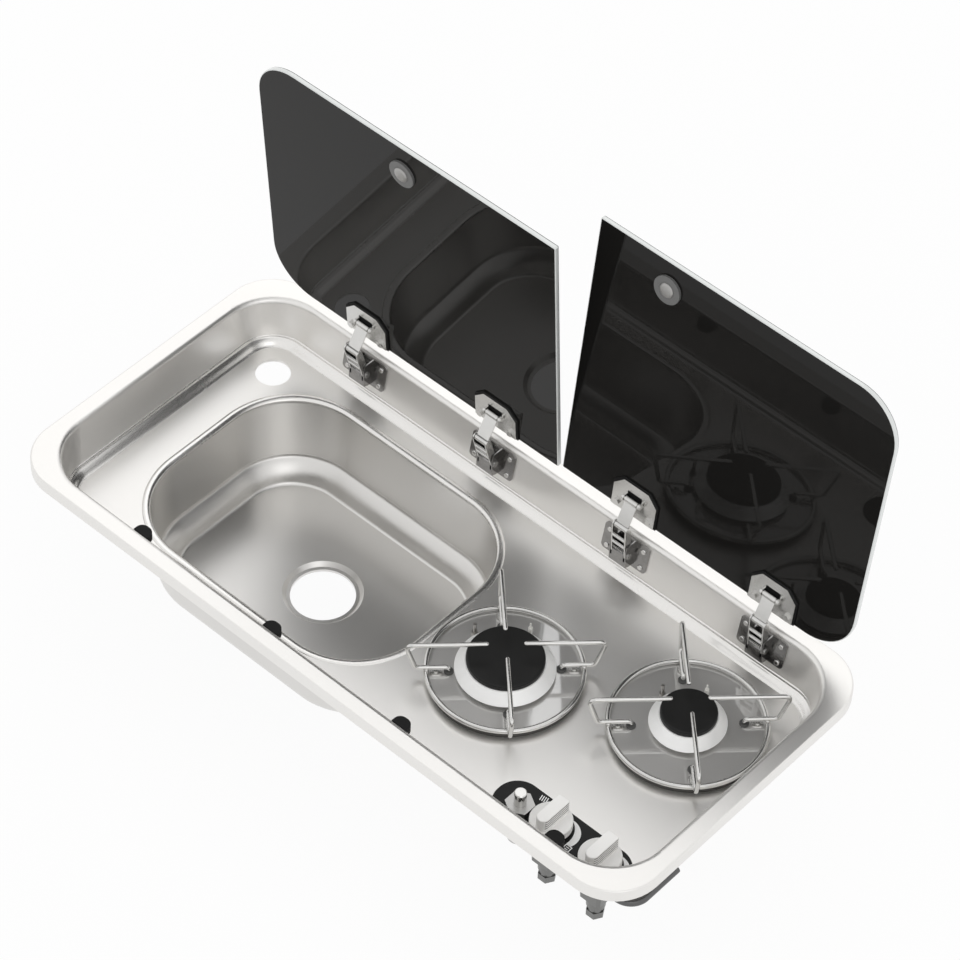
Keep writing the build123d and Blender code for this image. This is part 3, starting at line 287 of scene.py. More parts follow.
def make_finishes(look):
    """All the materials of the unit; `look` holds the colours that a user may change.

    Each line reads: name, colour, roughness, metallic, shifts, mottle, grain, depth.
    """
    GROUPS["grain"] = surface_grain()
    GROUPS["rings"] = turned_rings()
    finish("satin_steel", look.steel_color, look.steel_roughness, 0.91, (0.05, 0.05), 9.0,
           1500.0, 0.000012)
    # Painted shade: the bowl is the pressings' steel at 0.86 of its brightness, darkened for
    # the shade in its deep well.
    finish("bowl_steel", shaded(look.steel_color, 0.86), 0.31, 1.0, (0.05, 0.05), 11.0,
           1500.0, 0.000012)
    finish("polished_steel", (0.62, 0.61, 0.595), 0.46, 1.0, (0.05, 0.04), 12.0, 700.0,
           0.000001, Coat_Weight=1.0, Coat_Roughness=0.04, Coat_IOR=3.0)
    finish("steel_bead", look.steel_color, 0.27, 1.0, (0.05, 0.04), 30.0, 700.0, 0.000003)
    # Painted shade: near-black steel on the spill plates' skirt, standing in for the shade
    # round their side.
    finish("skirt_painted_shade_steel", (0.09, 0.088, 0.085), 0.5, 1.0, (0.1, 0.06), 30.0, 700.0, 0.00001)
    finish("steel_wire", (0.66, 0.655, 0.64), 0.17, 1.0, (0.12, 0.08), 60.0, 500.0, 0.00001)
    finish("black_enamel", (0.012, 0.012, 0.0117), 0.42, 0.0, (0.2, 0.08), 80.0, 1500.0,
           0.00003, Specular_IOR_Level=0.25)
    finish("rubber", (0.008, 0.008, 0.008), 0.62, 0.0, (0.3, 0.1), 120.0, 1300.0, 0.00005,
           Specular_IOR_Level=0.2)
    finish("grommet_rubber", (0.075, 0.075, 0.073), 0.5, 0.0, (0.3, 0.1), 120.0, 1300.0,
           0.00005)
    finish("white_print", (0.95, 0.95, 0.94), 0.5, 0.0, (0.04, 0.05), 200.0, 1500.0,
           0.000005)
    finish("die_cast", (0.20, 0.20, 0.195), 0.34, 1.0, (0.15, 0.1), 60.0, 900.0, 0.00003)
    finish("stud_metal", (0.40, 0.395, 0.385), 0.36, 1.0, (0.1, 0.08), 90.0, 700.0, 0.00002,
           (1, 8, 1))
    finish("brass", (0.55, 0.42, 0.20), 0.28, 1.0, (0.2, 0.12), 60.0, 900.0, 0.00002)
    finish("steel_tube", (0.13, 0.13, 0.13), 0.3, 1.0, (0.15, 0.1), 40.0, 900.0, 0.00002)
    finish("ceramic_white", (0.80, 0.79, 0.75), 0.22, 0.0, (0.05, 0.05), 120.0, 900.0,
           0.00001, Coat_Weight=0.5, Coat_Roughness=0.1)
    finish("probe_steel", (0.40, 0.39, 0.37), 0.3, 1.0, (0.2, 0.1), 120.0, 900.0, 0.00002)
    finish("knob_plastic", look.knob_color, 0.46, 0.0, (0.05, 0.06), 70.0, 1800.0, 0.00004)
    # Painted shade: the knobs' plastic at 0.36 of its brightness, laid in the deepest faces of
    # the ribs.
    finish("knob_groove_painted_shade", shaded(look.knob_color, 0.36), 0.6, 0.0, (0.05, 0.06), 70.0,
           1800.0, 0.00004)
    finish("black_plastic", (0.016, 0.016, 0.016), 0.5, 0.0, (0.2, 0.1), 90.0, 1500.0,
           0.00004)
    finish("washer_plastic", (0.14, 0.14, 0.138), 0.42, 0.0, (0.06, 0.06), 90.0, 900.0,
           0.00002)
    finish("plated_steel", (0.66, 0.655, 0.64), 0.22, 1.0, (0.14, 0.1), 70.0, 420.0,
           0.00003)
    finish("dark_plate", (0.29, 0.285, 0.28), 0.17, 1.0, (0.5, 0.12), 150.0, 420.0, 0.00006)
    finish("bright_plate", (0.66, 0.655, 0.64), 0.13, 1.0, (0.14, 0.08), 70.0, 420.0,
           0.00001)
    finish("dull_plate", (0.50, 0.495, 0.485), 0.32, 1.0, (0.14, 0.1), 70.0, 420.0, 0.00002)
    finish("black_glass", look.glass_color, 0.015, 0.0, (0.1, 0.01), 14.0, 300.0,
           0.0000002, IOR=1.5, Specular_IOR_Level=0.13)
    finish("glass_edge", (0.66, 0.68, 0.67), 0.12, 0.0, (0.1, 0.05), 60.0, 500.0,
           0.000002, IOR=1.55, Coat_Weight=1.0, Coat_Roughness=0.05, Coat_IOR=2.0)
    for size, burner in BURNERS.items():
        centre = (burner["x"] * MM, burner["y"] * MM, 0)
        finish(f"aluminium_{size}", (0.97, 0.97, 0.96), 0.42, 0.35, (0.04, 0.06), 90.0,
               1200.0, 0.00001, rings=(centre, 900.0, 0.4))


# ---------------------------------------------------------------- mesh tools
def add_piece(name, points, faces, body, materials, material_index=None, smooth=True):
    """New mesh object from points in millimetres, riding on a body."""
    mesh = bpy.data.meshes.new(name)
    mesh.from_pydata((np.asarray(points, float) * MM).tolist(), [], faces)
    smooth = np.broadcast_to(smooth, len(mesh.polygons)).astype(bool)
    mesh.polygons.foreach_set("use_smooth", smooth)
    for material in materials:
        mesh.materials.append(FINISH[material])
    if material_index is not None:
        mesh.polygons.foreach_set("material_index", np.asarray(material_index, np.int32))
    mesh.validate()
    mesh.update()
    piece = bpy.data.objects.new(name, mesh)
    bpy.context.scene.collection.objects.link(piece)
    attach(piece, body)
    return piece


def grid_faces(rows, columns):
    """Quads of a grid of rings: row r, column c is point r * columns + c."""
    r, c = np.meshgrid(np.arange(rows - 1), np.arange(columns), indexing="ij")
    a = (r * columns + c).ravel()
    b = (r * columns + (c + 1) % columns).ravel()
    return np.stack([a, b, b + columns, a + columns], 1).tolist()


def closed_faces(rows, columns):
    """Quads of a grid whose last row also joins the first one."""
    total = rows * columns
    return [[i % total for i in face] for face in grid_faces(rows + 1, columns)]


def fan(ring, centre, flip=False):
    """Triangles from a ring of points to one centre point."""
    ring = list(ring)
    after = ring[1:] + ring[:1]
    return [(b, a, centre) if flip else (a, b, centre) for a, b in zip(ring, after)]


def rounded_outline(half_x, half_y, radii, steps, lead=0.0):
    """Closed outline of a rectangle with its own radius at each corner.

    Each corner is a quarter circle, centre + r * (cos, sin), from +X+Y round
    anticlockwise; the straight sides join the arcs.  With a lead, each arc also gets a
    point that far out on the straights beside it, which keeps the straights' shading flat.
    """
    outline = []
    for i, (sx, sy) in enumerate(((1, 1), (-1, 1), (-1, -1), (1, -1))):
        r = radii[i]
        turn = np.linspace(i * pi / 2, (i + 1) * pi / 2, steps)
        arc = np.stack([sx * (half_x - r) + r * np.cos(turn),
                        sy * (half_y - r) + r * np.sin(turn)], 1)
        if lead:
            along = np.stack([-np.sin(turn), np.cos(turn)], 1) * lead
            arc = np.concatenate([arc[:1] - along[:1], arc, arc[-1:] + along[-1:]])
        outline.append(arc)
    return np.concatenate(outline)


def rounded_path(corners, radii, steps):
    """Path through corner points with a circular arc of its own radius at each bend.

    The arc starts r * tan(bend / 2) before the corner and turns about a centre that
    lies off both runs by r.
    """
    corners = np.asarray(corners, float)
    path = [corners[:1]]
    for i, r in enumerate(radii, start=1):
        before = corners[i - 1] - corners[i]
        after = corners[i + 1] - corners[i]
        before /= np.linalg.norm(before)
        after /= np.linalg.norm(after)
        half = acos(np.clip(before @ after, -1, 1)) / 2
        middle = (before + after) / np.linalg.norm(before + after)
        centre = corners[i] + middle * r / sin(half)
        start = corners[i] + before * r / np.tan(half) - centre
        end = corners[i] + after * r / np.tan(half) - centre
        share = np.linspace(0, 1, steps)[:, None]
        sweep = pi - 2 * half
        arc = (np.sin((1 - share) * sweep) * start + np.sin(share * sweep) * end) / sin(sweep)
        path.append(centre + arc)
    path.append(corners[-1:])
    return np.concatenate(path)


def flat_tube(path, side, radius, sides):
    """Round wire along a path that lies in one plane with normal `side`.

    A point is path + r * (cos(v) * (side x tangent) + sin(v) * side); each end closes in
    a quarter round of the same radius, whose last ring is a fiftieth of it.
    """
    path = np.asarray(path, float)
    tangent = np.gradient(path, axis=0)
    tangent /= np.linalg.norm(tangent, axis=1, keepdims=True)
    lift = np.linspace(0, pi / 2, 5)[1:]
    reach = radius * np.sin(lift)[:, None]
    shrink = np.maximum(np.cos(lift), 0.02) * radius
    radii = np.concatenate([shrink[::-1], np.full(len(path), radius), shrink])
    path = np.concatenate([path[:1] - tangent[:1] * reach[::-1], path,
                           path[-1:] + tangent[-1:] * reach])
    tangent = np.concatenate([np.repeat(tangent[:1], len(lift), 0), tangent,
                              np.repeat(tangent[-1:], len(lift), 0)])
    across = np.cross(side, tangent)
    turn = np.linspace(0, 2 * pi, sides, endpoint=False)
    ring = (np.cos(turn)[None, :, None] * across[:, None, :]
            + np.sin(turn)[None, :, None] * np.asarray(side, float))
    points = path[:, None, :] + radii[:, None, None] * ring
    faces = grid_faces(len(path), sides)
    points = points.reshape(-1, 3)
    last = len(points)
    points = np.concatenate([points, path[:1], path[-1:]])
    faces += fan(range(sides), last, flip=True)
    faces += fan(range(last - sides, last), last + 1)
    return points, faces


def turned(profile, centre, steps):
    """Surface of revolution: the (radius, height) profile carried round a vertical axis."""
    profile = np.asarray(profile, float)
    turn = np.linspace(0, 2 * pi, steps, endpoint=False)
    points = np.stack([
        centre[0] + profile[:, :1] * np.cos(turn), centre[1] + profile[:, :1] * np.sin(turn),
        np.repeat(profile[:, 1:2], steps, 1)], 2).reshape(-1, 3)
    return points, grid_faces(len(profile), steps)


def gather(parts):
    """Several (points, faces) lists as one, with the face numbers moved on."""
    points, faces, start = [], [], 0
    for part_points, part_faces in parts:
        points.append(part_points)
        faces += [[i + start for i in face] for face in part_faces]
        start += len(part_points)
    return np.concatenate(points), faces


def lid_points(local, side):
    """(x, up the lid, out in front of its inner face) turned to where the lid stands."""
    local = np.asarray(local, float)
    turn = radians(OPEN_ANGLE[side])
    dy = GLASS_BACK_Y - local[:, 1] - SWING_Y
    dz = GLASS_UNDER_Z - local[:, 2] - SWING_Z
    return np.stack([local[:, 0], SWING_Y + dy * cos(turn) + dz * sin(turn),
                     SWING_Z - dy * sin(turn) + dz * cos(turn)], 1)


# ---------------------------------------------------------------- operators
class SINKHOB_OT_finish_nodes(Operator):
    """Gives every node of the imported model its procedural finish"""

    bl_idname = "sinkhob.finish_nodes"
    bl_label = "Finish The Packed Nodes"

    BY_FINISH = {
        "satin_steel": ("tray", "tap_hole_plate"),
        "bowl_steel": ("sink_bowl",),
        "polished_steel": ("spill_plate_large", "spill_plate_small"),
        "steel_wire": ("pan_support_large", "pan_support_small"),
        "aluminium_large": ("burner_head_large", "burner_body_large"),
        "aluminium_small": ("burner_head_small", "burner_body_small"),
        "black_enamel": ("burner_cap_large", "burner_cap_small", "control_plate"),
        "rubber": ("rim_seal", "lid_rests", "hinge_pads_left", "hinge_pads_right"),
        "grommet_rubber": ("support_grommets",),
        "brass": ("injector_holder_large", "injector_holder_small"),
        "die_cast": ("tap_body_large", "tap_body_small"),
        "steel_tube": ("feed_pipe_large", "feed_pipe_small", "gas_link_pipe",
                       "gas_inlet_pipe"),
        "ceramic_white": ("spark_electrodes",),
        "probe_steel": ("flame_probes", "tap_spindle_large", "tap_spindle_small"),
        "knob_plastic": ("knob_large", "knob_small"),
        "black_plastic": ("lid_knob_left", "lid_knob_right"),
        "washer_plastic": ("knob_washer_left", "knob_washer_right"),
        "plated_steel": (
            "support_clips", "hinge_pivots", "hinge_leaves_left", "hinge_leaves_right",
            "link_pins_left", "link_pins_right", "hinge_links_left",
            "hinge_links_right", "hinge_arms_left", "hinge_arms_right",
            "hinge_springs_left", "hinge_springs_right"),
        "dark_plate": ("hinge_housings",),
        "dull_plate": ("igniter_nut", "igniter_body"),
        "bright_plate": ("igniter_button", "housing_rivets", "hinge_screws_left",
                         "hinge_screws_right"),
        "black_glass": ("glass_left", "glass_right"),
    }

    def execute(self, context):
        make_finishes(context.scene.sink_hob_finishes)
        for name, nodes in self.BY_FINISH.items():
            for node in nodes:
                materials = NODES[node].data.materials
                materials.clear()
                materials.append(FINISH[name])
        return {"FINISHED"}


class SINKHOB_OT_make_lids(Operator):
    """Makes the two glass lids: flat panes with a rounded, polished edge"""

    bl_idname = "sinkhob.make_lids"
    bl_label = "Make The Glass Lids"

    EDGE_ROUND = 1.1
    INNER_CORNER = 1.6
    CORNER_STEPS = 14
    QUARTER_POINTS = 5

    def execute(self, context):
        for side, (low, high) in GLASS_SPAN.items():
            points, faces, index = self.pane(side, low, high)
            piece = add_piece(f"lid_glass_{side}", points, faces, f"{side}_lid",
                              ("black_glass", "glass_edge"), index,
                              np.arange(len(index)) < len(index) - 2)
            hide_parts(f"glass_{side}")
        return {"FINISHED"}

    def pane(self, side, low, high):
        """Rounded outline carried through an edge profile, closed by flat faces.

        The edge is a flat band with a small quarter round at each face: inset and depth
        run as r * (1 - sin, 1 - cos) and back.  The front quarter and the flat band, as
        many rows of faces as a quarter has points, are pale glass edge.
        """
        edge = self.EDGE_ROUND
        turn = np.linspace(0, pi / 2, self.QUARTER_POINTS)
        inset = np.concatenate([edge * (1 - np.sin(turn)), edge * (1 - np.cos(turn))])
        depth = np.concatenate([-edge * (1 - np.cos(turn)),
                                -GLASS_T + edge * (1 - np.sin(turn))])
        half_x, half_y = (high - low) / 2, GLASS_DEPTH / 2
        small, large = self.INNER_CORNER, GLASS_CORNER
        outer = (small, large, large, small)
        if side == "right":
            outer = (large, small, small, large)
        rings = []
        for i, d in zip(inset, depth):
            radii = [max(r - i, 0.2) for r in outer]
            outline = rounded_outline(half_x - i, half_y - i, radii, self.CORNER_STEPS)
            rings.append(np.column_stack([outline[:, 0] + (low + high) / 2,
                                          outline[:, 1] + half_y,
                                          np.full(len(outline), d)]))
        count = len(rings[0])
        local = np.concatenate(rings)
        faces = grid_faces(len(rings), count)
        index = np.repeat(np.arange(len(rings) - 1) < self.QUARTER_POINTS, count)
        index = index.astype(int).tolist()
        faces.append(list(range(count)))
        faces.append(list(range(len(local) - count, len(local)))[::-1])
        index += [0, 0]
        return lid_points(local, side), [face[::-1] for face in faces], index


class SINKHOB_OT_make_pan_supports(Operator):
    """Makes the bent wire pan supports with their welds"""

    bl_idname = "sinkhob.make_pan_supports"
    bl_label = "Make The Pan Supports"

    RING_R = SPILL_R
    TOP_Z, LOW_Z, FOOT_Z = -8.7, -40.4, -50.0
    # A prong's corners, as distance from the burner's axis and height, and its bends.
    PATH = ((18.0, TOP_Z), (92.0, TOP_Z), (82.0, LOW_Z), (51.5, LOW_Z), (51.5, FOOT_Z))
    BENDS = (5.0, 5.0, 3.5)
    BEND_STEPS, RING_STEPS = 9, 144
    # A weld's half sizes out, aside and up, and how far it lies under the prong.
    WELD, WELD_DROP = (2.9, 2.7, 1.3), 1.8
    WELD_ROWS, WELD_STEPS, WELD_POLE = 7, 14, 0.15

    def execute(self, context):
        wires = context.scene.sink_hob_wires
        for size, burner in BURNERS.items():
            centre = np.array([burner["x"], burner["y"], 0.0])
            parts = [self.ring(centre, wires.ring_wire / MM / 2, wires.sides)]
            for turn in PRONG_TURNS:
                away = np.array([cos(radians(turn)), sin(radians(turn)), 0.0])
                corners = [centre + away * r + np.array([0, 0, z]) for r, z in self.PATH]
                path = rounded_path(corners, self.BENDS, self.BEND_STEPS)
                side = np.cross(away, (0, 0, 1))
                parts.append(flat_tube(path, side, wires.prong_wire / MM / 2, wires.sides))
                parts.append(self.weld(centre, away))
            points, faces = gather(parts)
            piece = add_piece(f"wire_support_{size}", points, faces, "root",
                              ("steel_wire",))
            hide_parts(f"pan_support_{size}")
        return {"FINISHED"}

    def ring(self, centre, wire, sides):
        """Torus: centre + (R + r cos v) * (cos u, sin u), height r sin v."""
        u = np.linspace(0, 2 * pi, self.RING_STEPS, endpoint=False)[:, None]
        v = np.linspace(0, 2 * pi, sides, endpoint=False)[None, :]
        reach = self.RING_R + wire * np.cos(v)
        points = np.stack([centre[0] + reach * np.cos(u), centre[1] + reach * np.sin(u),
                           SPILL_TOP + wire + wire * np.sin(v) + 0 * u], 2).reshape(-1, 3)
        return points, closed_faces(self.RING_STEPS, sides)

    def weld(self, centre, away):
        """Weld bead where the prong crosses the ring: a flattened ball.

        It runs out by cos v * cos u, aside by cos v * sin u and up by sin v, each times
        its own half size, and a point closes each pole.
        """
        long, wide, high = self.WELD
        rows, steps = self.WELD_ROWS, self.WELD_STEPS
        u = np.linspace(0, 2 * pi, steps, endpoint=False)[None, :]
        top = pi / 2 - self.WELD_POLE
        v = np.linspace(-top, top, rows)[:, None]
        side = np.cross(away, (0, 0, 1))
        middle = centre + away * self.RING_R + np.array([0, 0, self.LOW_Z - self.WELD_DROP])
        ball = ((np.cos(v) * np.cos(u))[..., None] * away * long
                + (np.cos(v) * np.sin(u))[..., None] * side * wide
                + (np.sin(v) + 0 * u)[..., None] * np.array([0, 0, high]))
        points = (middle + ball).reshape(-1, 3)
        total = len(points)
        points = np.concatenate([points, [middle - (0, 0, high)], [middle + (0, 0, high)]])
        faces = grid_faces(rows, steps) + fan(range(steps), total, flip=True)
        return points, faces + fan(range(total - steps, total), total + 1)


class SINKHOB_OT_make_spill_plates(Operator):
    """Makes the polished round plates under the pan supports, with a skirt painted near black
    as shade
    """

    bl_idname = "sinkhob.make_spill_plates"
    bl_label = "Make The Spill Plates"

    EDGE, SHEET = 2.0, 1.0
    HOLE_GAP, HEM = 0.3, 1.2
    TOP_ROWS, STEPS = 8, 120

    def execute(self, context):
        for size, burner in BURNERS.items():
            points, faces, index = self.plate(burner)
            piece = add_piece(f"spill_disc_{size}", points, faces, "root",
                              ("polished_steel", "skirt_painted_shade_steel"), index)
            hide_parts(f"spill_plate_{size}")
        return {"FINISHED"}

    def plate(self, burner):
        """Closed section carried round: top, rounded edge r * (sin, cos), skirt, underside.

        The faces past the top rows, from the skirt on, are near-black steel: painted shade
        round the plate's side and underside.
        """
        hole, rim = burner["cup"] + self.HOLE_GAP, SPILL_R
        inner, under = rim - self.SHEET, SPILL_TOP - self.SHEET
        turn = np.linspace(0, pi / 2, 7)
        edge = np.stack([rim - self.EDGE + self.EDGE * np.sin(turn),
                         SPILL_TOP - self.EDGE + self.EDGE * np.cos(turn)], 1)
        section = np.concatenate([
            [[hole, SPILL_TOP], [(hole + rim) / 2, SPILL_TOP],
             [rim - self.EDGE - 0.3, SPILL_TOP]],
            edge,
            [[rim, FLOOR + self.HEM], [rim, FLOOR], [inner, FLOOR], [inner, under],
             [hole, under], [hole, SPILL_TOP]]])
        points, faces = turned(section, (burner["x"], burner["y"]), self.STEPS)
        # Painted shade: every row from the skirt on takes the near-black steel.
        painted_shade_rows = np.arange(len(section) - 1) >= self.TOP_ROWS
        index = np.repeat(painted_shade_rows, self.STEPS).astype(int)
        return points, [face[::-1] for face in faces], index


class SINKHOB_OT_make_beads(Operator):
    """Makes the pressed beads of the tray and the bowl, and the step at the bowl's foot"""

    bl_idname = "sinkhob.make_beads"
    bl_label = "Make The Pressed Beads"

    # Sections with their height over the tray's floor: the mouth's bead outwards from the
    # bowl's mouth, the foot's roll inwards from the tray's opening.
    MOUTH = ((8.0, -0.3), (7.6, 0.12), (6.8, 0.55), (5.6, 0.85), (4.2, 0.95), (2.8, 0.8),
             (1.6, 0.42), (0.6, -0.2), (-0.2, -1.1), (-0.6, -2.2), (0.2, -1.9), (2.6, -0.6),
             (6.0, -0.5))
    FOOT_ROLL = ((8.3, 8.8), (8.9, 8.4), (9.5, 7.9), (9.85, 7.1), (10.0, 6.3), (10.5, 5.8),
                 (11.6, 5.3), (12.9, 4.6), (14.2, 3.6), (15.4, 2.4), (16.4, 1.3), (17.4, 0.5),
                 (18.6, 0.1), (19.6, -0.2), (14.0, -0.6), (11.2, 1.4), (9.0, 4.2), (8.0, 8.6))
    LEDGE_TOP = (-0.3, 24.8)
    LEDGE_START, LEDGE_END = (0.2, 24.0), (20.0, -0.25)
    # How the ledge's slope in degrees runs along its length, and its number of points.
    LEDGE_SLOPES = ((0.0, 0.1, 0.45, 0.84, 1.0), (82.0, 30.0, 42.0, 64.0, 12.0))
    LEDGE_POINTS = 26
    INSIDE_SHEET = 0.35
    CORNER_STEPS, CORNER_LEAD = 24, 5.0

    def execute(self, context):
        mouth = [self.ring(BOWL_MOUTH, BOWL_CENTRE, d, FLOOR + h) for d, h in self.MOUTH]
        self.strip("bowl_mouth_bead", mouth, "steel_bead")
        foot = [self.ring(TRAY_OPENING, (0, 0), -d, FLOOR + h, TRAY_FOOT)
                for d, h in self.FOOT_ROLL]
        self.strip("tray_foot_bead", foot, "steel_bead")
        # The foot's step takes the bowl's steel with its painted shade.
        self.strip("bowl_foot_ledge", self.bowl_ledge(), "bowl_steel")
        return {"FINISHED"}

    def ledge(self):
        """Rounded shoulder: a running sum of (cos, sin) of its slope, fitted to its ends."""
        start, end = np.array(self.LEDGE_START), np.array(self.LEDGE_END)
        along = np.linspace(0, 1, self.LEDGE_POINTS - 1)
        slope = np.radians(np.interp(along, *self.LEDGE_SLOPES))
        run = np.cumsum(np.stack([np.cos(slope), np.sin(slope)], 1), 0)
        run = np.concatenate([[[0, 0]], run])
        return start + run / run[-1] * (end - start)

    def bowl_ledge(self):
        """Rings of the step at the bowl's foot: shoulder in front, plain fillet behind.

        The back runs as r * (1 - cos, 1 - sin) a hair inside the sheet, and every ring
        follows the wall's draft.
        """
        lean = np.tan(radians(BOWL_DRAFT))
        turn = np.linspace(pi / 2, 0, 7)
        back = BOWL_FOOT_R * np.stack([1 - np.cos(turn), 1 - np.sin(turn)], 1)
        section = np.concatenate([[self.LEDGE_TOP], self.ledge(), back - self.INSIDE_SHEET])
        inset = (BOWL_DEPTH - section[:, 1]) * lean + section[:, 0]
        return [self.ring(BOWL_MOUTH, BOWL_CENTRE, -d, FLOOR - BOWL_DEPTH + h)
                for d, h in zip(inset, section[:, 1])]

    def ring(self, size, centre, grow, z, foot=None):
        """Rounded rectangle grown by `grow`, at height z.

        With a foot, the corner's radius runs from the opening's to the foot's by the
        share of the wall that the ring has come down.
        """
        half_x, half_y, corner = size
        if foot is not None:
            reach = half_x - foot[0]
            share = min(-grow / reach, 1.0)
            corner = (corner + grow) * (1 - share) + share * (foot[2] + min(grow + reach, 0.0))
        else:
            corner += grow
        outline = rounded_outline(half_x + grow, half_y + grow, [corner] * 4,
                                  self.CORNER_STEPS, self.CORNER_LEAD)
        return np.column_stack([outline + np.asarray(centre), np.full(len(outline), z)])

    def strip(self, name, rings, material):
        """Closed band: the rings joined in order and the last one back to the first."""
        add_piece(name, np.concatenate(rings), closed_faces(len(rings), len(rings[0])),
                  "root", (material,))


class SINKHOB_OT_make_knobs(Operator):
    """Makes the moulded tap knobs with ribbed bars, and the marks on the control plate"""

    bl_idname = "sinkhob.make_knobs"
    bl_label = "Make The Knobs And Marks"

    LOW, TOP = PLATE_TOP + 4.5, PLATE_TOP + 13.5
    STEPS = 72
    # Half length, half width and height of the grip, and its square end's corner.
    BAR, BAR_CORNER = (17.4, 6.4, 15.0), 1.6
    # The ribs' height from one to the next, half depth, and where they begin and end.
    RIB, RIB_DEPTH, RIB_LOW, RIB_HIGH = 3.0, 0.4, 2.0, 13.2
    RIB_STEP = RIB / 8
    SKIRT = ((4.2, 0.0), (19.0, 0.0), (19.8, 0.7), (19.8, 3.0), (19.3, 3.3), (19.3, 4.2),
             (19.8, 4.5), (19.8, 7.9), (19.5, 8.6), (18.9, 9.0), (10.0, 9.0))
    # Inner radius, first and last angle; width at the tip and what is added at most, and
    # how far the sine that widens it runs.
    CRESCENT, CRESCENT_WIDTH = (21.6, -8.0, 68.0), (0.15, 6.4, 2.3)
    CRESCENT_STEPS = 26
    WINDOW = (279.2, -127.3)
    STROKES = (225.4, -101.0)

    def execute(self, context):
        for size, (x, y) in TAPS.items():
            skirt = self.skirt(x, y)
            bar, painted_groove_shade = self.bar(x, y)
            points, faces = gather([skirt, bar])
            plain = np.zeros(len(skirt[1]), int)
            piece = add_piece(f"moulded_knob_{size}", points, faces, f"{size}_knob",
                              ("knob_plastic", "knob_groove_painted_shade"),
                              np.concatenate([plain, painted_groove_shade]),
                              np.arange(len(faces)) < len(plain))
            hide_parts(f"knob_{size}")
        shapes = [self.crescent(x, y) for x, y in TAPS.values()] + self.small_marks()
        points, faces = gather([self.slab(shape) for shape in shapes])
        add_piece("dial_marks", points, faces, "root", ("white_print",),
                  smooth=False)
        return {"FINISHED"}

    def skirt(self, x, y):
        """Round skirt: its profile carried round the axis, and a fan that closes the top."""
        profile = np.array(self.SKIRT) + (0, self.LOW)
        points, faces = turned(profile, (x, y), self.STEPS)
        total = len(points)
        points = np.concatenate([points, [[x, y, self.TOP]]])
        return points, faces + fan(range(total - self.STEPS, total), total)

    def bar(self, x, y):
        """Grip: round at the near end and square at the far end, walls waved by fine ribs.

        On the right side the wall's inset is depth * (1 - cos(2 pi z / rib)) between the
        foot and the top; the faces deepest in the ribs take a much darker plastic as painted
        shade in the grooves.
        """
        half_y, half_x, rise = self.BAR
        corners = (self.BAR_CORNER, self.BAR_CORNER, half_x, half_x)
        outline = rounded_outline(half_x, half_y, corners, 12)
        waves = np.arange(self.RIB_LOW, self.RIB_HIGH, self.RIB_STEP)
        heights = np.concatenate([[-0.5, 1.0], waves, [14.2, 14.75, rise]])
        inset = self.RIB_DEPTH * (1 - np.cos(2 * pi * (heights - self.RIB_LOW) / self.RIB))
        inset[:2] = inset[-3:] = 0.0
        round_off = np.zeros(len(heights))
        round_off[-2:] = (0.25, 0.9)
        right = (outline[:, 0] > half_x * 0.8).astype(float)
        rings = []
        for z, rib, pull in zip(heights, inset, round_off):
            ring = outline * (1 - pull / np.array([half_x, half_y]))
            ring = ring - np.column_stack([right * rib, 0 * right])
            rings.append(np.column_stack([ring + (x, y), np.full(len(ring), self.TOP + z)]))
        points = np.concatenate(rings)
        count = len(outline)
        faces = grid_faces(len(rings), count)
        # Painted shade: the deepest rib faces on the right wall take the darker plastic.
        deep = (inset[:-1] + inset[1:]) / 2 > self.RIB_DEPTH
        wall = (right > 0) & (np.roll(right, -1) > 0)
        painted_groove_shade = np.append((deep[:, None] & wall[None, :]).ravel(), False).astype(int)
        faces.append(list(range(len(points) - count, len(points))))
        return (points, faces), painted_groove_shade

    def crescent(self, x, y):
        """Widening arc beside a knob: inner radius fixed, outer grows as sin of the turn."""
        inner, start, end = self.CRESCENT
        tip, most, sweep = self.CRESCENT_WIDTH
        turn = np.radians(np.linspace(end, start, self.CRESCENT_STEPS))
        share = np.linspace(0, 1, self.CRESCENT_STEPS)
        outer = inner + tip + most * np.sin(share * sweep)
        way = np.stack([np.cos(turn), np.sin(turn)], 1)
        ring = np.concatenate([outer[:, None] * way, (inner * way)[::-1]])
        return (ring + (x, y))[::-1]

    def small_marks(self):
        """A plain square outline with two bars, and four short strokes."""
        x, y = self.WINDOW
        shapes = [self.box(x, y - 3.2, 7.2, 0.9), self.box(x, y + 3.2, 7.2, 0.9),
                  self.box(x - 3.2, y, 0.9, 5.5), self.box(x + 3.2, y, 0.9, 5.5),
                  self.box(x, y - 1.1, 3.6, 0.8), self.box(x, y + 1.1, 3.6, 0.8)]
        x, y = self.STROKES
        return shapes + [self.box(x + 2.1 * i, y + 0.35 * i, 0.95, 6.0, 0.25)
                         for i in range(4)]

    def box(self, x, y, wide, high, lean=0.0):
        """Corners of a rectangle about (x, y), turned clockwise by the lean."""
        corners = np.array([(-wide, -high), (wide, -high), (wide, high), (-wide, high)]) / 2
        turn = np.array([[cos(lean), sin(lean)], [-sin(lean), cos(lean)]])
        return corners @ turn + (x, y)

    def slab(self, outline):
        """A printed shape as a thin closed slab on the control plate."""
        count = len(outline)
        low = np.column_stack([outline, np.full(count, PLATE_TOP - 0.05)])
        high = np.column_stack([outline, np.full(count, PLATE_TOP + 0.12)])
        faces = grid_faces(2, count)
        faces.append(list(range(count, 2 * count)))
        faces.append(list(range(count))[::-1])
        return np.concatenate([low, high]), faces


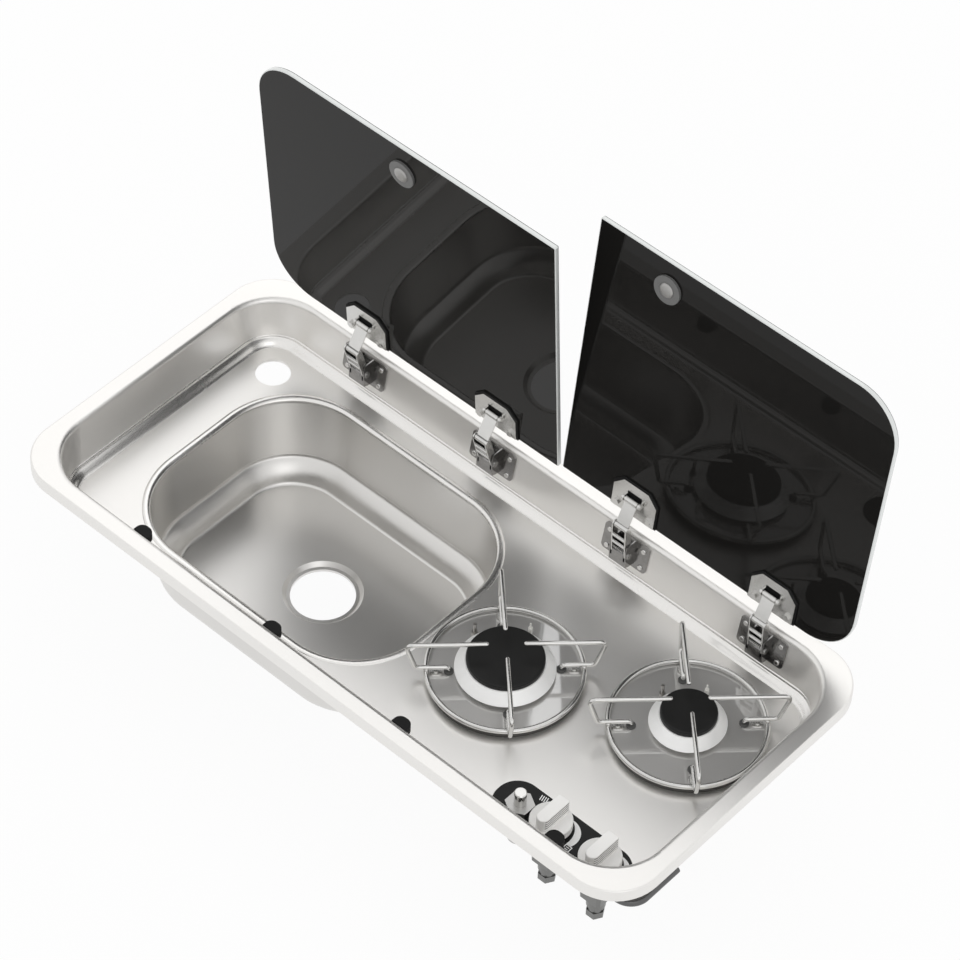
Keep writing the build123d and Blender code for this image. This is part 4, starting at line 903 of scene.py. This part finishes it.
class SINKHOB_OT_make_studs(Operator):
    """Makes the brushed stud caps of the lid knobs, on the inner face of the glass"""

    bl_idname = "sinkhob.make_studs"
    bl_label = "Make The Stud Caps"

    PLACE = {"left": (-172.0, 273.0), "right": (98.0, 276.0)}
    CROWN = 4.3
    CAP = ((4.5, 4.2), (6.6, 3.9), (7.4, 3.5), (7.7, 3.0), (7.7, 2.3))
    STEPS = 48

    def execute(self, context):
        for side, (x, up) in self.PLACE.items():
            points, faces = self.cap(x, up)
            add_piece(f"stud_cap_{side}", lid_points(points, side), faces, f"{side}_lid",
                      ("stud_metal",))
        return {"FINISHED"}

    def cap(self, x, up):
        """Low dome: its (radius, height) profile carried round and closed at the crown."""
        points, faces = turned(self.CAP, (x, up), self.STEPS)
        faces += fan(range(self.STEPS), len(points), flip=True)
        points = np.concatenate([points, [[x, up, self.CROWN]]])
        return points, [face[::-1] for face in faces]


class SINKHOB_OT_make_stage(Operator):
    """Makes the pale floor, the studio light and the camera"""

    bl_idname = "sinkhob.make_stage"
    bl_label = "Make The Stage"

    FLOOR_Z, FLOOR_REACH = -0.1585, 6.0
    FLOOR_GLOW = 0.93
    OVERHEAD = 0.94
    LENS, SENSOR = 147.8, 36.0
    AIM = (-0.0394, 0.1074, 0.0)
    DISTANCE = 3.6965
    # Place, width and share of the key's power.
    LAMPS = {"key": ((-2.0, 2.4, 3.8), 3.0, 1.0), "fill": ((2.4, -1.6, 2.4), 1.8, 0.5)}

    def execute(self, context):
        stage = context.scene.sink_hob_stage
        self.floor(stage)
        self.world(stage)
        self.lamps(stage)
        self.camera(stage)
        context.scene.view_settings.view_transform = "Standard"
        return {"FINISHED"}

    def floor(self, stage):
        """One wide flat face; camera, mirror and glass rays see it near white."""
        mesh = bpy.data.meshes.new("floor")
        far, z = self.FLOOR_REACH, self.FLOOR_Z
        corners = [(-far, -far, z), (far, -far, z), (far, far, z), (-far, far, z)]
        mesh.from_pydata(corners, [], [(0, 1, 2, 3)])
        floor = bpy.data.objects.new("floor", mesh)
        bpy.context.scene.collection.objects.link(floor)
        material = bpy.data.materials.new("pale_floor")
        material.use_nodes = True
        tree = material.node_tree
        shader = tree.nodes["Principled BSDF"]
        shader.inputs["Base Color"].default_value = (*stage.floor_color, 1)
        shader.inputs["Roughness"].default_value = 0.9
        shader.inputs["Specular IOR Level"].default_value = 0.1
        glow = tree.nodes.new("ShaderNodeEmission")
        mix = tree.nodes.new("ShaderNodeMixShader")
        path = tree.nodes.new("ShaderNodeLightPath")
        seen = maths(tree, "MAXIMUM", path.outputs["Is Camera Ray"],
                     path.outputs["Is Glossy Ray"])
        seen = maths(tree, "MAXIMUM", seen, path.outputs["Is Transmission Ray"])
        tree.links.new(maths(tree, "MULTIPLY", seen, self.FLOOR_GLOW), mix.inputs["Fac"])
        tree.links.new(shader.outputs[0], mix.inputs[1])
        tree.links.new(glow.outputs[0], mix.inputs[2])
        tree.links.new(mix.outputs[0], tree.nodes["Material Output"].inputs["Surface"])
        mesh.materials.append(material)

    def world(self, stage):
        """Even light that falls off a little overhead."""
        world = bpy.data.worlds.new("studio")
        bpy.context.scene.world = world
        world.use_nodes = True
        tree = world.node_tree
        back = tree.nodes["Background"]
        back.inputs["Strength"].default_value = stage.world_level
        coordinates = tree.nodes.new("ShaderNodeTexCoord")
        apart = tree.nodes.new("ShaderNodeSeparateXYZ")
        ramp = tree.nodes.new("ShaderNodeValToRGB")
        tree.links.new(coordinates.outputs["Generated"], apart.inputs[0])
        tree.links.new(apart.outputs["Z"], ramp.inputs["Fac"])
        ramp.color_ramp.elements[0].color = (1, 1, 1, 1)
        ramp.color_ramp.elements[1].color = (*[self.OVERHEAD] * 3, 1)
        tree.links.new(ramp.outputs["Color"], back.inputs["Color"])

    def lamps(self, stage):
        """One large soft lamp over the back left and a smaller one at the front right."""
        for name, (place, size, share) in self.LAMPS.items():
            lamp = bpy.data.lights.new(name, "AREA")
            lamp.shape = "SQUARE"
            lamp.size = size
            lamp.energy = stage.key_power * share
            holder = bpy.data.objects.new(name, lamp)
            bpy.context.scene.collection.objects.link(holder)
            holder.location = place
            holder.rotation_mode = "QUATERNION"
            holder.rotation_quaternion = Vector(place).to_track_quat("Z", "Y")

    def camera(self, stage):
        """Camera turned by azimuth, elevation and roll about the aim point."""
        a, e, roll = stage.azimuth, stage.elevation, stage.roll
        back = Vector((sin(a) * cos(e), -cos(a) * cos(e), sin(e)))
        right = Vector((cos(a), sin(a), 0))
        up = back.cross(right)
        turned_right = right * cos(roll) + up * sin(roll)
        turned_up = up * cos(roll) - right * sin(roll)
        lens = bpy.data.cameras.new("camera")
        lens.lens = self.LENS
        lens.sensor_width = self.SENSOR
        lens.clip_end = 50.0
        camera = bpy.data.objects.new("camera", lens)
        bpy.context.scene.collection.objects.link(camera)
        camera.matrix_world = Matrix.LocRotScale(
            Vector(self.AIM) + back * self.DISTANCE,
            Matrix((turned_right, turned_up, back)).transposed().to_quaternion(), None)
        bpy.context.scene.camera = camera


class SINKHOB_PT_looks(Panel):
    """Lists the sink and hob operators"""

    bl_idname = "SINKHOB_PT_looks"
    bl_label = "Sink And Hob Looks"
    bl_space_type = "VIEW_3D"
    bl_region_type = "UI"
    bl_category = "Sink Hob"

    def draw(self, context):
        column = self.layout.column()
        for operator in STEPS:
            column.operator(operator.bl_idname, text=operator.bl_label)
        for group, settings in SETTINGS:
            box = column.box()
            for name in settings.__annotations__:
                box.prop(getattr(context.scene, group), name)


STEPS = (
    SINKHOB_OT_finish_nodes,
    SINKHOB_OT_make_lids,
    SINKHOB_OT_make_pan_supports,
    SINKHOB_OT_make_spill_plates,
    SINKHOB_OT_make_beads,
    SINKHOB_OT_make_knobs,
    SINKHOB_OT_make_studs,
    SINKHOB_OT_make_stage,
)
SETTINGS = (
    ("sink_hob_finishes", SinkHobFinishes),
    ("sink_hob_wires", SinkHobWires),
    ("sink_hob_stage", SinkHobStage),
)


def register():
    """Registers the settings, the operators and the panel."""
    for name, settings in SETTINGS:
        bpy.utils.register_class(settings)
        setattr(bpy.types.Scene, name, PointerProperty(type=settings))
    for item in (*STEPS, SINKHOB_PT_looks):
        bpy.utils.register_class(item)


def unregister():
    """Takes them all out again, last one first."""
    for item in (SINKHOB_PT_looks, *reversed(STEPS)):
        bpy.utils.unregister_class(item)
    for name, settings in reversed(SETTINGS):
        delattr(bpy.types.Scene, name)
        bpy.utils.unregister_class(settings)


def run_step(operator):
    """Calls one operator by its bl_idname and stops the script if it doesn't finish."""
    group, name = operator.bl_idname.split(".")
    if getattr(getattr(bpy.ops, group), name)() != {"FINISHED"}:
        raise RuntimeError(f"{operator.bl_idname} did not finish")


def main():
    """Runs every step in order."""
    register()
    for operator in STEPS:
        run_step(operator)


if __name__ == "__main__":
    main()
